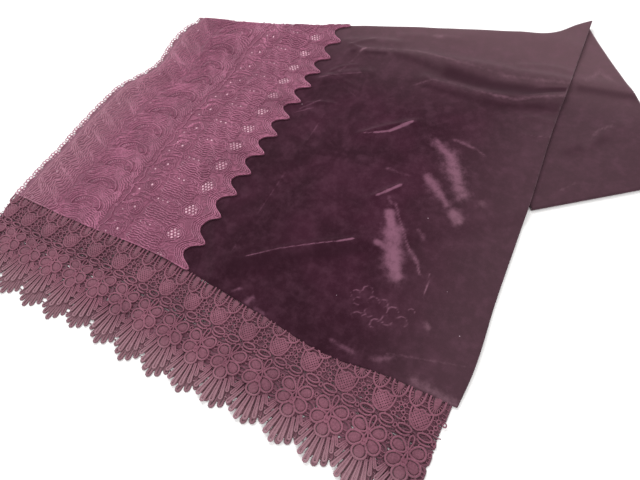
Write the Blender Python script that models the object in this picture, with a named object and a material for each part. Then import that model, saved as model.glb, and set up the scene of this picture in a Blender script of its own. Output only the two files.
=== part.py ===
"""Evening stole of plum velvet with a corded lace band and guipure borders, folded and lying flat.

The stole is a long rectangle. It is folded in half across its length, so that its two bordered
ends lie on each other, and the doubled strip is then turned back under itself on a slant.
Lengths are in metres. +X runs along the border seam, +Y from the border up the panel, +Z up.
"""
import math

import bmesh
import bpy
import numpy as np

# Cut of the stole
HALF_LENGTH = 0.830
VELVET = 0.0016
LACE = 0.0015
GAP = 0.0003

# Layers under the top one
SECOND_LAYER = 0.0022
TURNED_HALF = 0.0050
LAYER_SLOT = 0.0008
EDGE_RAMP = 0.020
FOLD_PUFF = 0.0050
FOLD_PUFF_REACH = 0.055
NOSE_ANGLES = (34, 68, 102, 136, 172)
CORE_INSET = 0.0010
CORE_HEEL = -0.0005
EDGE_DROP = 0.0007
EDGE_DROP_REACH = 0.012

# Corded lace band along the left long edge
BAND_WIDTH = 0.252
SCALLOP_ROOT = 0.0055
SCALLOP_DEPTH = 0.0185
NOSE_SHARE = 0.7
NOSE_REACH = 0.40
SCALLOP_LIFT = 0.0009
PICOT_DEPTH = 0.0030
SHELL_RISE = 0.0007
LEAF_RISE = 0.0007
VELVET_EDGE = 0.240
LAP_END = 0.276

# Guipure borders on the short ends
REPEAT = 0.0381
BORDER_START = -0.010
BORDER_END = 0.5955
FRONT_BORDER_BASE = 0.0021
BORDER = 0.0016
PETAL_RISE = 0.0009
BACK_INSET = 0.003
FRINGE_ROOT = -0.0915

# The layout's centre, which is the middle of the whole object's box
CENTRE = (0.3650, 0.2255)

# Panel edges: (height up the panel, place across) and (share of the width, height)
LEFT_EDGE = (
    (0.000, -0.005), (0.050, -0.006), (0.090, -0.003), (0.150, -0.005), (0.190, -0.003), (0.215, 0.001),
    (0.240, 0.014), (0.262, 0.026), (0.285, 0.029), (0.300, 0.026), (0.339, 0.024), (0.352, 0.026),
    (0.370, 0.035), (0.387, 0.046),
)
RIGHT_EDGE = (
    (0.000, 0.600), (0.033, 0.602), (0.118, 0.598), (0.245, 0.594), (0.350, 0.588),
    (0.448, 0.586), (0.564, 0.583),
)
TOP_EDGE = (
    (0.00, 0.384), (0.06, 0.391), (0.19, 0.404), (0.42, 0.4375), (0.62, 0.473),
    (0.85, 0.5075), (0.94, 0.5265), (0.967, 0.5445), (1.00, 0.5615),
)
SEAM = (
    (-0.010, 0.000), (0.130, 0.004), (0.200, 0.009), (0.323, 0.004), (0.394, -0.002),
    (0.477, -0.008), (0.514, -0.002), (0.600, 0.002),
)
# Heights up the panel of the band's scallop tips, one for each repeat of its pattern
SCALLOP_TIPS = (
    -0.024, 0.010, 0.045, 0.082, 0.118, 0.152, 0.185, 0.218, 0.251, 0.282, 0.312, 0.340,
    0.371, 0.404, 0.437, 0.470,
)
# How far the back band shows past the front one: height up the panel, width that shows
BACK_BAND_SHOWS = ((0.030, 0.0015), (0.090, 0.0035), (0.150, 0.0025), (0.190, 0.0040), (0.215, 0.0030))

# Creases of the top layer: start, end, bow to the left of the run, height, half width
CREASES = (
    # start x, start y, end x, end y, bow, height, half width
    (0.300, 0.398, 0.592, 0.436, 0.006, 0.0042, 0.012),
    (0.415, 0.380, 0.592, 0.414, -0.016, 0.0036, 0.011),
    (0.420, 0.468, 0.570, 0.500, 0.010, 0.0028, 0.018),
    (0.374, 0.260, 0.432, 0.306, 0.003, 0.0024, 0.006),
    (0.426, 0.176, 0.457, 0.212, 0.000, 0.0020, 0.006),
    (0.316, 0.040, 0.442, 0.128, 0.004, 0.0022, 0.008),
    (0.282, 0.408, 0.352, 0.430, 0.004, 0.0026, 0.008),
    (0.282, 0.330, 0.340, 0.366, 0.004, 0.0020, 0.008),
    (0.010, 0.040, 0.014, 0.200, 0.000, 0.0022, 0.009),
    (0.016, 0.208, 0.046, 0.262, 0.002, 0.0026, 0.010),
    (0.046, 0.270, 0.044, 0.350, 0.002, 0.0026, 0.012),
    (0.090, 0.330, 0.200, 0.395, 0.008, 0.0026, 0.016),
)
# Soft ridges on the turned half, in the same columns
TURNED_CREASES = (
    (0.589, 0.446, 0.668, 0.452, 0.003, 0.0022, 0.010),
    (0.628, 0.343, 0.655, 0.395, 0.000, 0.0018, 0.009),
)

# Repeats of a border, pulled a little out of true: the net disk's place across and its rise,
# then the daisy's place across and its rise
FRONT_REPEATS = (
    (-0.035, 0.0000, -0.037, 0.0020), (0.003, 0.0000, 0.001, 0.0020), (0.037, 0.0000, 0.038, 0.0030),
    (0.074, -0.0005, 0.0745, 0.0033), (0.1135, 0.0009, 0.112, 0.0033), (0.152, 0.0040, 0.151, 0.0050),
    (0.192, 0.0048, 0.187, 0.0073), (0.231, 0.0048, 0.227, 0.0029), (0.266, 0.0026, 0.263, 0.0002),
    (0.303, 0.0008, 0.301, -0.0017), (0.340, 0.0001, 0.3385, -0.0029), (0.379, -0.0006, 0.3755, -0.0017),
    (0.418, 0.0001, 0.4155, 0.0002), (0.4545, 0.0009, 0.4563, -0.0018), (0.495, -0.0007, 0.495, -0.0022),
    (0.535, -0.0003, 0.5348, -0.0036), (0.5735, -0.0010, 0.574, -0.0030), (0.612, -0.0010, 0.612, -0.0030),
)
BACK_REPEATS = (
    (-0.034, -0.0060, -0.034, -0.0080), (0.004, -0.0060, 0.004, -0.0080), (0.042, -0.0060, 0.042, -0.0090),
    (0.080, -0.0060, 0.080, -0.0097), (0.119, -0.0060, 0.118, -0.0097), (0.156, -0.0040, 0.157, -0.0090),
    (0.193, -0.0040, 0.191, -0.0040), (0.231, -0.0040, 0.230, -0.0050), (0.269, -0.0060, 0.2685, -0.0075),
    (0.307, -0.0060, 0.306, -0.0070), (0.346, -0.0055, 0.347, -0.0055), (0.385, -0.0050, 0.386, -0.0023),
    (0.424, -0.0040, 0.424, 0.0000), (0.4635, -0.0040, 0.4635, 0.0000), (0.503, -0.0040, 0.503, -0.0005),
    (0.541, -0.0040, 0.541, -0.0020), (0.579, -0.0040, 0.579, -0.0030), (0.617, -0.0040, 0.617, -0.0030),
)
DISK_LEVEL = 0.030
DAISY_LEVEL = 0.052

# Fan of one repeat: fingertip's place across, its depth below the seam, its radius
FINGERTIPS = (
    (-0.0158, -0.0945, 0.0028), (-0.0084, -0.1000, 0.0031), (0.0000, -0.1040, 0.0032),
    (0.0084, -0.1000, 0.0031), (0.0158, -0.0945, 0.0028),
)
# Gaps of one repeat: place across, depth below the seam, half width, half height
GAPS = (
    (0.01905, -0.0235, 0.0024, 0.0030), (0.01905, -0.0560, 0.0022, 0.0034),
    (0.01905, -0.0835, 0.0029, 0.0024), (-0.0130, -0.0370, 0.0020, 0.0021),
    (0.0130, -0.0370, 0.0020, 0.0021),
)
GAP_SIDES = 6
# Daisy of one repeat: petal's place across, its depth below the seam, half width, half height
PETALS = (
    (-0.0099, -0.0502, 0.0074, 0.0057), (0.0099, -0.0502, 0.0074, 0.0057),
    (-0.0109, -0.0626, 0.0070, 0.0054), (0.0109, -0.0626, 0.0070, 0.0054),
    (0.0000, -0.0707, 0.0071, 0.0057),
)
PETAL_SIDES = 7
PETAL_TAPER = 0.7
PETAL_MARGIN = 0.001
NET_DISK = (0.0, -0.0220, 0.0098, 0.0094)
DISK_SIDES = 9

# Columns across the band: place, how much of the shell's and of the leaf's rise stands there,
# and whether the band lies on the velvet there
BAND_COLUMNS = (
    (0.000, 0.0, 0.0, 0.0), (0.014, 0.0, 0.0, 0.0), (0.034, 0.0, 0.0, 0.0), (0.074, 0.3, 0.0, 0.0),
    (0.106, 1.0, 0.0, 0.0),
    (0.138, 0.0, 0.0, 0.0), (0.186, 0.0, 1.0, 0.0), (0.226, 0.0, 0.0, 0.0), (VELVET_EDGE, 0.0, 0.0, 1.0),
    (BAND_WIDTH, 0.0, 0.0, 1.0),
)
PANEL_COLUMNS = (
    VELVET_EDGE, BAND_WIDTH, LAP_END, 0.300, 0.328, 0.356, 0.386, 0.416, 0.446, 0.478, 0.510, 0.542,
    0.574, 0.600,
)
# Rows of the panel in each repeat of the band: two on a scallop's nose and two beside the valley
ROW_PHASES = (0.1, 0.35, 0.65, 0.9)
TURNED_SECTIONS = 9


def smooth(share):
    """0 below 0, 1 above 1, and an even S-curve between."""
    share = np.clip(share, 0.0, 1.0)
    return share * share * (3 - 2 * share)


def along(table, place):
    """Second column of a table at a place in its first, on a smooth curve through the rows."""
    places, values = np.array(table, float).T
    slopes = np.gradient(values, places)
    i = np.clip(np.searchsorted(places, place) - 1, 0, len(places) - 2)
    span = places[i + 1] - places[i]
    t = np.clip((place - places[i]) / span, 0.0, 1.0)
    start = (1 + 2 * t) * (1 - t) ** 2 * values[i] + t * (1 - t) ** 2 * span * slopes[i]
    end = t * t * (3 - 2 * t) * values[i + 1] + t * t * (t - 1) * span * slopes[i + 1]
    return start + end


def fold_corners():
    """Ends of the slanted fold, and of the middle fold that lies turned back under the panel."""
    left = np.array([along(LEFT_EDGE, TOP_EDGE[0][1]), TOP_EDGE[0][1]])
    right = np.array([along(RIGHT_EDGE, TOP_EDGE[-1][1]), TOP_EDGE[-1][1]])
    fold = (right - left) / np.linalg.norm(right - left)
    turned = np.array([2 * fold[1] * fold[0], 2 * fold[1] ** 2 - 1])
    far_left = left + (HALF_LENGTH - left[1]) * turned
    far_right = right + (HALF_LENGTH - right[1]) * turned
    return left, right, far_left, far_right


FOLD_LEFT, FOLD_RIGHT, MIDDLE_LEFT, MIDDLE_RIGHT = fold_corners()


def beside(x, y, start, end):
    """Distance of a point to the left of the line from start to end."""
    run = (end - start) / np.linalg.norm(end - start)
    return run[0] * (y - start[1]) - run[1] * (x - start[0])


def inside_turned(x, y):
    """How far a point lies inside the turned half, from its left edge and its middle fold."""
    return np.minimum(
        beside(x, y, FOLD_LEFT, MIDDLE_LEFT), beside(x, y, MIDDLE_LEFT, MIDDLE_RIGHT)
    )


def creases(x, y, table):
    """Sum of the creases: each a ridge that fades to its ends, along a bowed line."""
    total = np.zeros(np.broadcast(x, y).shape)
    for x0, y0, x1, y1, bow, height, half_width in table:
        run = np.array([x1 - x0, y1 - y0])
        length = np.linalg.norm(run)
        t = ((x - x0) * run[0] + (y - y0) * run[1]) / length ** 2
        inside = np.clip(t, 0, 1)
        aside = beside(x, y, np.array([x0, y0]), np.array([x1, y1])) - bow * 4 * inside * (1 - inside)
        beyond = (t - inside) * length
        total += height * np.exp(-(aside ** 2 + beyond ** 2) / half_width ** 2)
    return total


def core_height(x, y):
    """Height of the face that the top layer lies on."""
    lift = TURNED_HALF * smooth(1 + inside_turned(x, y) / EDGE_RAMP)
    drop = EDGE_DROP * (1 - smooth((x - along(LEFT_EDGE, y)) / EDGE_DROP_REACH))
    from_fold = beside(x, y, FOLD_RIGHT, FOLD_LEFT)
    puff = FOLD_PUFF * np.exp(-((from_fold / FOLD_PUFF_REACH) ** 2))
    return SECOND_LAYER + lift + puff + creases(x, y, CREASES) - drop


def outermost(place):
    """How far the outermost layer stands over the hidden ones: lace, or velvet alone."""
    return GAP + LACE + (GAP + VELVET) * (place >= VELVET_EDGE) - (GAP + LACE) * (place > LAP_END)


def across(place, y):
    """Place across the panel at a height up it, for a place on the straight seam edge."""
    if place <= BAND_WIDTH:
        left = along(LEFT_EDGE, y)
        return left + (BAND_WIDTH - left) * place / BAND_WIDTH
    right = along(RIGHT_EDGE, y)
    return BAND_WIDTH + (right - BAND_WIDTH) * (place - BAND_WIDTH) / (RIGHT_EDGE[0][1] - BAND_WIDTH)


def section(place):
    """Where a section of the panel lies: its top's place, its start, its fold line, its radius.

    The nose of the slanted fold is half a circle as high as the stack of layers there.
    """
    low = across(place, 0.0)
    top = along(TOP_EDGE, (low - LEFT_EDGE[0][1]) / (RIGHT_EDGE[0][1] - LEFT_EDGE[0][1]))
    x_top = across(place, top)
    radius = 0.006
    for _ in range(4):
        radius = 0.5 * (core_height(x_top, top - radius) + outermost(place))
    return x_top, along(SEAM, low), top - radius, radius


def flat_rows():
    """Shares of a section's flat run that have a row, from the scallops of the band's edge."""
    _, start, fold_line, _ = section(BAND_WIDTH)
    phases = [whole + part for whole in range(len(SCALLOP_TIPS) - 1) for part in ROW_PHASES]
    heights = np.interp(phases, np.arange(len(SCALLOP_TIPS)), SCALLOP_TIPS)
    clear = (heights > start + 0.003) & (heights < fold_line - 0.003)
    return np.array([0.0, *((heights[clear] - start) / (fold_line - start)), 1.0])


def skin(places):
    """The hidden layers' top surface, and the direction in which the layers over it stand off.

    Each section runs from the seam up the panel, then round the fold's nose. Every layer is made
    from these same points, so that none cuts another.
    """
    rows = flat_rows()
    turns = np.radians(NOSE_ANGLES)
    points = np.zeros((len(places), len(rows) + len(turns), 3))
    outward = np.zeros_like(points)
    for i, place in enumerate(places):
        x_top, start, fold_line, radius = section(place)
        y = start + (fold_line - start) * rows
        x = across(place, y)
        points[i, :len(rows)] = np.stack([x, y, core_height(x, y)], axis=1)
        outward[i, :len(rows), 2] = 1.0
        nose = radius - outermost(place)
        outward[i, len(rows):, 1] = np.sin(turns)
        outward[i, len(rows):, 2] = np.cos(turns)
        points[i, len(rows):] = (x_top, fold_line, radius) + nose * outward[i, len(rows):]
    return points, outward


def new_object(name, mesh, colour, roughness):
    """An object in the stole's collection, with its own plain cloth material."""
    item = bpy.data.objects.new(name, mesh)
    STOLE.objects.link(item)
    finish = bpy.data.materials.new(name)
    finish.use_nodes = True
    shader = finish.node_tree.nodes["Principled BSDF"]
    shader.inputs["Base Color"].default_value = (*colour, 1.0)
    shader.inputs["Roughness"].default_value = roughness
    shader.inputs["Metallic"].default_value = 0.0
    mesh.materials.clear()
    mesh.materials.append(finish)
    return item


def finished(name, shape, colour, roughness):
    """The object of a closed bmesh, moved from the layout to the middle of its box."""
    bmesh.ops.translate(shape, verts=shape.verts, vec=(-CENTRE[0], -CENTRE[1], 0.0))
    bmesh.ops.recalc_face_normals(shape, faces=shape.faces)
    mesh = bpy.data.meshes.new(name)
    shape.to_mesh(mesh)
    shape.free()
    mesh.shade_smooth()
    mesh.set_sharp_from_angle(angle=math.radians(40))
    return new_object(name, mesh, colour, roughness)


def lofted(shape, grid):
    """Vertices of a grid of points, with triangles between its sections, all cut the same way."""
    rows = [[shape.verts.new(point) for point in section] for section in grid]
    for row, following in zip(rows, rows[1:]):
        for j in range(len(row) - 1):
            shape.faces.new((row[j], following[j], following[j + 1]))
            shape.faces.new((row[j], following[j + 1], row[j + 1]))
    return rows


def border_loop(rows):
    """Vertices round the edge of a grid, in order."""
    first, last = rows[0], rows[-1]
    return [
        *first, *[row[-1] for row in rows[1:-1]], *last[::-1], *[row[0] for row in rows[-2:0:-1]]
    ]


def cloth_wall(name, outer, inner, colour, roughness):
    """A closed wall between two grids of points."""
    shape = bmesh.new()
    edge = border_loop(lofted(shape, outer))
    inner_edge = border_loop(lofted(shape, inner))
    for k in range(len(edge)):
        shape.faces.new((edge[k - 1], edge[k], inner_edge[k], inner_edge[k - 1]))
    return finished(name, shape, colour, roughness)


def scallop_phase(y):
    """How many repeats of the band lie below a height up the panel."""
    return np.interp(y, SCALLOP_TIPS, np.arange(len(SCALLOP_TIPS)))


def from_tip(y):
    """0 at a scallop's tip and 1 in a valley of the band's inner edge."""
    phase = scallop_phase(y)
    return np.abs(phase - np.round(phase)) * 2


def scallop_nose(t):
    """Share of the scallops' depth, from 1 at a tip to 0 in a valley: a round nose on hollow sides."""
    return NOSE_SHARE * np.exp(-((t / NOSE_REACH) ** 2)) + (1 - NOSE_SHARE) * (1 - t)


def velvet_panel():
    """The top layer's velvet, from under the lace band to the right hem and over the fold."""
    points, outward = skin(PANEL_COLUMNS)
    inner = points + GAP * outward
    outer = inner + VELVET * outward
    return cloth_wall("velvet_panel", outer, inner, (0.050, 0.012, 0.026), 0.85)


def hidden_layers():
    """The second layer and the turned half under the panel, as one rounded solid."""
    places = [row[0] for row in BAND_COLUMNS] + list(PANEL_COLUMNS[2:])
    places[0] += CORE_INSET
    places[-1] -= CORE_INSET
    top, _ = skin(places)
    top[:, 0, 1] += CORE_INSET
    top[0, :, 2] -= GAP
    heels = [section(place)[2] + CORE_HEEL for place in places]
    shape = bmesh.new()
    edge = border_loop(lofted(shape, top))
    under = []
    for vertex in edge:
        x, y, _ = vertex.co
        heel = float(np.interp(x, top[:, -1, 0], heels))
        under.append(shape.verts.new((x, min(y, heel), 0.0)))
    for k in range(len(edge)):
        shape.faces.new((edge[k - 1], edge[k], under[k], under[k - 1]))
    bmesh.ops.remove_doubles(shape, verts=under, dist=0.0001)
    shape.faces.new([v for v in under if v.is_valid])
    return finished("hidden_layers", shape, (0.042, 0.010, 0.022), 0.88)


def velvet_turned_half():
    """The doubled strip that shows past the right hem: two layers joined at the middle fold."""
    leaf = (TURNED_HALF - LAYER_SLOT) / 2
    radius = TURNED_HALF / 2
    fold_y = np.linspace(0.0, FOLD_RIGHT[1], 400)
    on_hem = np.stack([along(RIGHT_EDGE, fold_y), fold_y], axis=1)
    meets = np.argmin(np.abs(beside(on_hem[:, 0], on_hem[:, 1], MIDDLE_LEFT, MIDDLE_RIGHT)))
    meet = on_hem[meets]
    stations = np.array((0.0, 0.14, 0.3, 0.46, 0.62, 0.78, 0.92, 1.0))
    arc = np.radians(np.linspace(90, -90, 7))[1:-1]
    outer_rows, inner_rows = [], []
    for share in np.linspace(0.05, 1.0, TURNED_SECTIONS):
        y = meet[1] + (FOLD_RIGHT[1] - 0.012 - meet[1]) * share
        start = np.array([along(RIGHT_EDGE, y) - CORE_INSET + GAP, y])
        end = meet + (MIDDLE_RIGHT - meet) * share
        length = np.linalg.norm(end - start) - radius
        run = (end - start) / np.linalg.norm(end - start)
        flat = start + run * (stations * length)[:, None]
        near_fold = 0.0026 * np.exp(-((np.linalg.norm(flat - FOLD_RIGHT, axis=1) / 0.06) ** 2))
        ends = np.minimum(1, (1 - stations) * 6)
        ridges = creases(flat[:, 0], flat[:, 1], TURNED_CREASES)
        top = TURNED_HALF + (near_fold + ridges) * ends
        bend = start + run * length
        nose = bend + run * (radius * np.cos(arc))[:, None]
        inside = bend + run * (LAYER_SLOT / 2 * np.cos(arc))[:, None]
        back = flat[::-1]
        outer_rows.append(np.concatenate([
            np.column_stack([flat, top]),
            np.column_stack([nose, radius + radius * np.sin(arc)]),
            np.column_stack([back, np.zeros(len(back))]),
        ]))
        inner_rows.append(np.concatenate([
            np.column_stack([flat, top - leaf]),
            np.column_stack([inside, radius + LAYER_SLOT / 2 * np.sin(arc)]),
            np.column_stack([back, np.full(len(back), leaf)]),
        ]))
    outer, inner = np.array(outer_rows), np.array(inner_rows)
    return cloth_wall("velvet_turned_half", outer, inner, (0.048, 0.012, 0.026), 0.85)


def lace_band():
    """The corded lace, from its picot edge to its scalloped edge, which laps over the velvet."""
    places, shells, leaves, lapped = np.array(BAND_COLUMNS).T
    points, outward = skin([*places, LAP_END])
    tips = from_tip(points[:, :, 1])
    picot = PICOT_DEPTH * tips[0] ** 0.7
    points[0, :, 0] -= picot
    reach = (SCALLOP_ROOT + SCALLOP_DEPTH * scallop_nose(tips[-2])) / (LAP_END - BAND_WIDTH)
    points[-1] = points[-2] + (points[-1] - points[-2]) * reach[:, None]
    above = (1 + outward[:, :, 2]) / 2
    lift = GAP + (VELVET + GAP) * np.append(lapped, 1.0)[:, None] * np.ones_like(above)
    lift[-1] += SCALLOP_LIFT * above[-1]
    rise = SHELL_RISE * np.append(shells, 0.0)[:, None] * tips * above
    rise = rise + LEAF_RISE * np.append(leaves, 0.0)[:, None] * (1 - tips) * above
    inner = points + lift[:, :, None] * outward
    outer = inner + (LACE + rise)[:, :, None] * outward
    return cloth_wall("lace_band", outer, inner, (0.265, 0.095, 0.155), 0.75)


def lace_band_back():
    """The back half's picot edge, where it shows on the table past the front band's edge."""
    rows = np.linspace(BACK_BAND_SHOWS[0][0], BACK_BAND_SHOWS[-1][0], 30)
    tucked = along(LEFT_EDGE, rows) - GAP
    edge = tucked - along(BACK_BAND_SHOWS, rows) - PICOT_DEPTH * from_tip(rows) ** 0.7
    columns = (edge, (edge + tucked) / 2, tucked)
    top = [np.column_stack([x, rows, np.full(len(rows), LACE)]) for x in columns]
    under = [np.column_stack([x, rows, np.zeros(len(rows))]) for x in columns]
    return cloth_wall("lace_band_back", np.array(top), np.array(under), (0.235, 0.090, 0.145), 0.75)


def seam_corners(start, end):
    """Corners of the guipure's sewn edge, which follow the panel's and the band's own corners."""
    places = [row[0] for row in BAND_COLUMNS] + list(PANEL_COLUMNS[2:])
    points, _ = skin(places)
    x, y = points[:, 0, :2].T
    inside = x[(x > start + 0.001) & (x < end - 0.001)]
    return [(float(at), float(np.interp(at, x, y)) - GAP) for at in (end, *inside[::-1], start)]


def ellipse(x, y, half_width, half_height, sides):
    """Corners of an upright ellipse, with one at its top."""
    angles = [math.pi / 2 + 2 * math.pi * k / sides for k in range(sides)]
    return [(x + half_width * math.cos(a), y + half_height * math.sin(a)) for a in angles]


def ring(shape, corners, height):
    """Vertices of a closed outline at a height, and the edges between them."""
    vertices = [shape.verts.new((x, y, height)) for x, y in corners]
    edges = [shape.edges.new((vertices[k - 1], vertices[k])) for k in range(len(vertices))]
    return vertices, edges


def lace_plate(name, outlines, petals, base, colour):
    """A flat plate cut along outlines, the first its edge and the rest gaps, with raised petals.

    Each face is one fill between its outlines. A petal is an outline on the top face that
    narrows to a raised flat top.
    """
    shape = bmesh.new()
    top = base + BORDER
    low = [ring(shape, corners, base) for corners in outlines]
    high = [ring(shape, corners, top) for corners in outlines]
    feet = [ring(shape, corners, top) for corners in petals]
    for rings in (low, high + feet):
        edges = [edge for _, ring_edges in rings for edge in ring_edges]
        bmesh.ops.triangle_fill(shape, edges=edges, use_beauty=True, use_dissolve=False)
    for (under, _), (over, _) in zip(low, high):
        for k in range(len(under)):
            shape.faces.new((under[k - 1], under[k], over[k], over[k - 1]))
    for foot, _ in feet:
        middle = sum((v.co.copy() for v in foot), foot[0].co * 0) / len(foot)
        crown = []
        for v in foot:
            inward = middle.lerp(v.co, PETAL_TAPER)
            crown.append(shape.verts.new((inward.x, inward.y, top + PETAL_RISE)))
        for k in range(len(foot)):
            shape.faces.new((foot[k - 1], foot[k], crown[k], crown[k - 1]))
        shape.faces.new(crown)
    return finished(name, shape, colour, 0.7)


def hang(repeats, count, across_repeat, y):
    """Place of a point of one repeat, given across it and below the seam, as the border hangs.

    The repeats are counted on evenly, so neighbours meet: the point's own count is looked up
    between the rows, in the disks' columns above DISK_LEVEL and the daisies' below DAISY_LEVEL.
    """
    turns = count + across_repeat / REPEAT
    disk_x, disk_rise, daisy_x, daisy_rise = (
        float(np.interp(turns, range(len(repeats)), column)) for column in zip(*repeats)
    )
    share = smooth((-y - DISK_LEVEL) / (DAISY_LEVEL - DISK_LEVEL))
    return disk_x + (daisy_x - disk_x) * share, y + disk_rise + (daisy_rise - disk_rise) * share


def fan_edge():
    """Corners round one repeat's fan, from its left valley past its fingertips."""
    corners = [(-REPEAT / 2, FRINGE_ROOT)]
    for tip_x, tip_y, radius in FINGERTIPS:
        corners.append((tip_x - radius, tip_y + radius))
        corners.append((tip_x - radius * 0.4, tip_y))
        corners.append((tip_x + radius * 0.5, tip_y))
    return corners


def hung(repeats, corners, half_width, start, end):
    """Corners of one form in every repeat where it lies between the two cut ends."""
    forms = []
    for count in range(len(repeats)):
        form = [hang(repeats, count, x, y) for x, y in corners]
        middle = sum(x for x, _ in form) / len(form)
        if start + half_width < middle < end - half_width:
            forms.append(form)
    return forms


def border_outlines(repeats, start, end, gaps):
    """Edge and gaps of a guipure border between two cut ends."""
    low = [hang(repeats, count, x, y) for count in range(len(repeats)) for x, y in fan_edge()]
    low = [corner for corner in low if start < corner[0] < end]
    root_start, root_end = low[0][1], low[-1][1]
    outlines = [[(start, root_start), *low, (end, root_end), *seam_corners(start, end)]]
    for x, y, half_width, half_height in gaps:
        gap = ellipse(x, y, half_width, half_height, GAP_SIDES)
        outlines.extend(hung(repeats, gap, 2 * half_width, start, end))
    return outlines


def guipure_front():
    """The front end's border, on the back one, with raised daisies and net disks."""
    petals = []
    forms = [(*row, PETAL_SIDES) for row in PETALS]
    forms.append((*NET_DISK, DISK_SIDES))
    for x, y, half_width, half_height, sides in forms:
        petal = ellipse(x, y, half_width, half_height, sides)
        petals.extend(hung(FRONT_REPEATS, petal, half_width + PETAL_MARGIN, BORDER_START, BORDER_END))
    outlines = border_outlines(FRONT_REPEATS, BORDER_START, BORDER_END, GAPS)
    return lace_plate("guipure_front", outlines, petals, FRONT_BORDER_BASE, (0.215, 0.085, 0.130))


def guipure_back():
    """The back end's border, on the table, mostly a little to the right of and below the front one."""
    start, end = BORDER_START + BACK_INSET, BORDER_END - BACK_INSET
    outlines = border_outlines(BACK_REPEATS, start, end, GAPS[:3])
    return lace_plate("guipure_back", outlines, [], 0.0, (0.170, 0.065, 0.105))


for old in list(bpy.data.objects):
    bpy.data.objects.remove(old)
STOLE = bpy.data.collections.new("evening_stole")
bpy.context.scene.collection.children.link(STOLE)

hidden_layers()
velvet_turned_half()
velvet_panel()
lace_band_back()
lace_band()
guipure_back()
guipure_front()
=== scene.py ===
# Evening stole of plum velvet, corded lace and guipure, folded and lying on a pale table.
import math

import bpy
import numpy as np
from mathutils import Matrix


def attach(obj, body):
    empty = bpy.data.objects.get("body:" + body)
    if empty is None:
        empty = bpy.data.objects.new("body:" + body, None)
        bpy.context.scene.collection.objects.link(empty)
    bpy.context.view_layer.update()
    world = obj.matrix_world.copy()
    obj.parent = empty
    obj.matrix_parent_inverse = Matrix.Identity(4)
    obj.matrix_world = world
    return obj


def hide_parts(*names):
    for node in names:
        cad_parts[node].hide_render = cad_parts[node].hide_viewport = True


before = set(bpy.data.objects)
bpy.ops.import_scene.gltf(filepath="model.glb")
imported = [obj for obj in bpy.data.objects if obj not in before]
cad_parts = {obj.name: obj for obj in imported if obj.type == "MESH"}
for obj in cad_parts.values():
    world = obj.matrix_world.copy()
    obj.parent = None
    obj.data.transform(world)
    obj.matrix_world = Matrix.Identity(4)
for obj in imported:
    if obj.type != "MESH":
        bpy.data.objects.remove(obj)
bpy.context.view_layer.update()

# Sizes and edges of the folded stole, as in the part, in metres
CENTRE = (0.3650, 0.2255)
HALF_LENGTH = 0.830
VELVET = 0.0016
LACE = 0.0015
GAP = 0.0003
SECOND_LAYER = 0.0022
TURNED_HALF = 0.0050
LAYER_SLOT = 0.0008
EDGE_RAMP = 0.020
FOLD_PUFF = 0.0050
FOLD_PUFF_REACH = 0.055
NOSE_END = math.radians(172)
CORE_INSET = 0.0010
EDGE_DROP = 0.0007
EDGE_DROP_REACH = 0.012
BAND_WIDTH = 0.252
VELVET_EDGE = 0.240
REPEAT = 0.0381
BORDER_START = -0.010
BORDER_END = 0.5955

LEFT_EDGE = (
    (0.000, -0.005), (0.050, -0.006), (0.090, -0.003), (0.150, -0.005), (0.190, -0.003), (0.215, 0.001),
    (0.240, 0.014), (0.262, 0.026), (0.285, 0.029), (0.300, 0.026), (0.339, 0.024), (0.352, 0.026),
    (0.370, 0.035), (0.387, 0.046),
)
RIGHT_EDGE = (
    (0.000, 0.600), (0.033, 0.602), (0.118, 0.598), (0.245, 0.594), (0.350, 0.588),
    (0.448, 0.586), (0.564, 0.583),
)
TOP_EDGE = (
    (0.00, 0.384), (0.06, 0.391), (0.19, 0.404), (0.42, 0.4375), (0.62, 0.473),
    (0.85, 0.5075), (0.94, 0.5265), (0.967, 0.5445), (1.00, 0.5615),
)
SEAM = (
    (-0.010, 0.000), (0.130, 0.004), (0.200, 0.009), (0.323, 0.004), (0.394, -0.002),
    (0.477, -0.008), (0.514, -0.002), (0.600, 0.002),
)
SCALLOP_TIPS = (
    -0.024, 0.010, 0.045, 0.082, 0.118, 0.152, 0.185, 0.218, 0.251, 0.282, 0.312, 0.340,
    0.371, 0.404, 0.437, 0.470, 0.503,
)
BACK_BAND_SHOWS = ((0.030, 0.0015), (0.090, 0.0035), (0.150, 0.0025), (0.190, 0.0040), (0.215, 0.0030))

# Creases of the top layer: start, end, bow to the left of the run, height, half width.
# The first rows are the part's own and the rest are finer ones that only show up close.
CREASES = (
    (0.300, 0.398, 0.592, 0.436, 0.006, 0.0042, 0.012),
    (0.415, 0.380, 0.592, 0.414, -0.016, 0.0036, 0.011),
    (0.420, 0.468, 0.570, 0.500, 0.010, 0.0028, 0.018),
    (0.374, 0.260, 0.432, 0.306, 0.003, 0.0024, 0.006),
    (0.426, 0.176, 0.457, 0.212, 0.000, 0.0020, 0.006),
    (0.316, 0.040, 0.442, 0.128, 0.004, 0.0022, 0.008),
    (0.282, 0.408, 0.352, 0.430, 0.004, 0.0026, 0.008),
    (0.282, 0.330, 0.340, 0.366, 0.004, 0.0020, 0.008),
    (0.010, 0.040, 0.014, 0.200, 0.000, 0.0022, 0.009),
    (0.016, 0.208, 0.046, 0.262, 0.002, 0.0026, 0.010),
    (0.046, 0.270, 0.044, 0.350, 0.002, 0.0026, 0.012),
    (0.090, 0.330, 0.200, 0.395, 0.008, 0.0026, 0.016),
)
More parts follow.
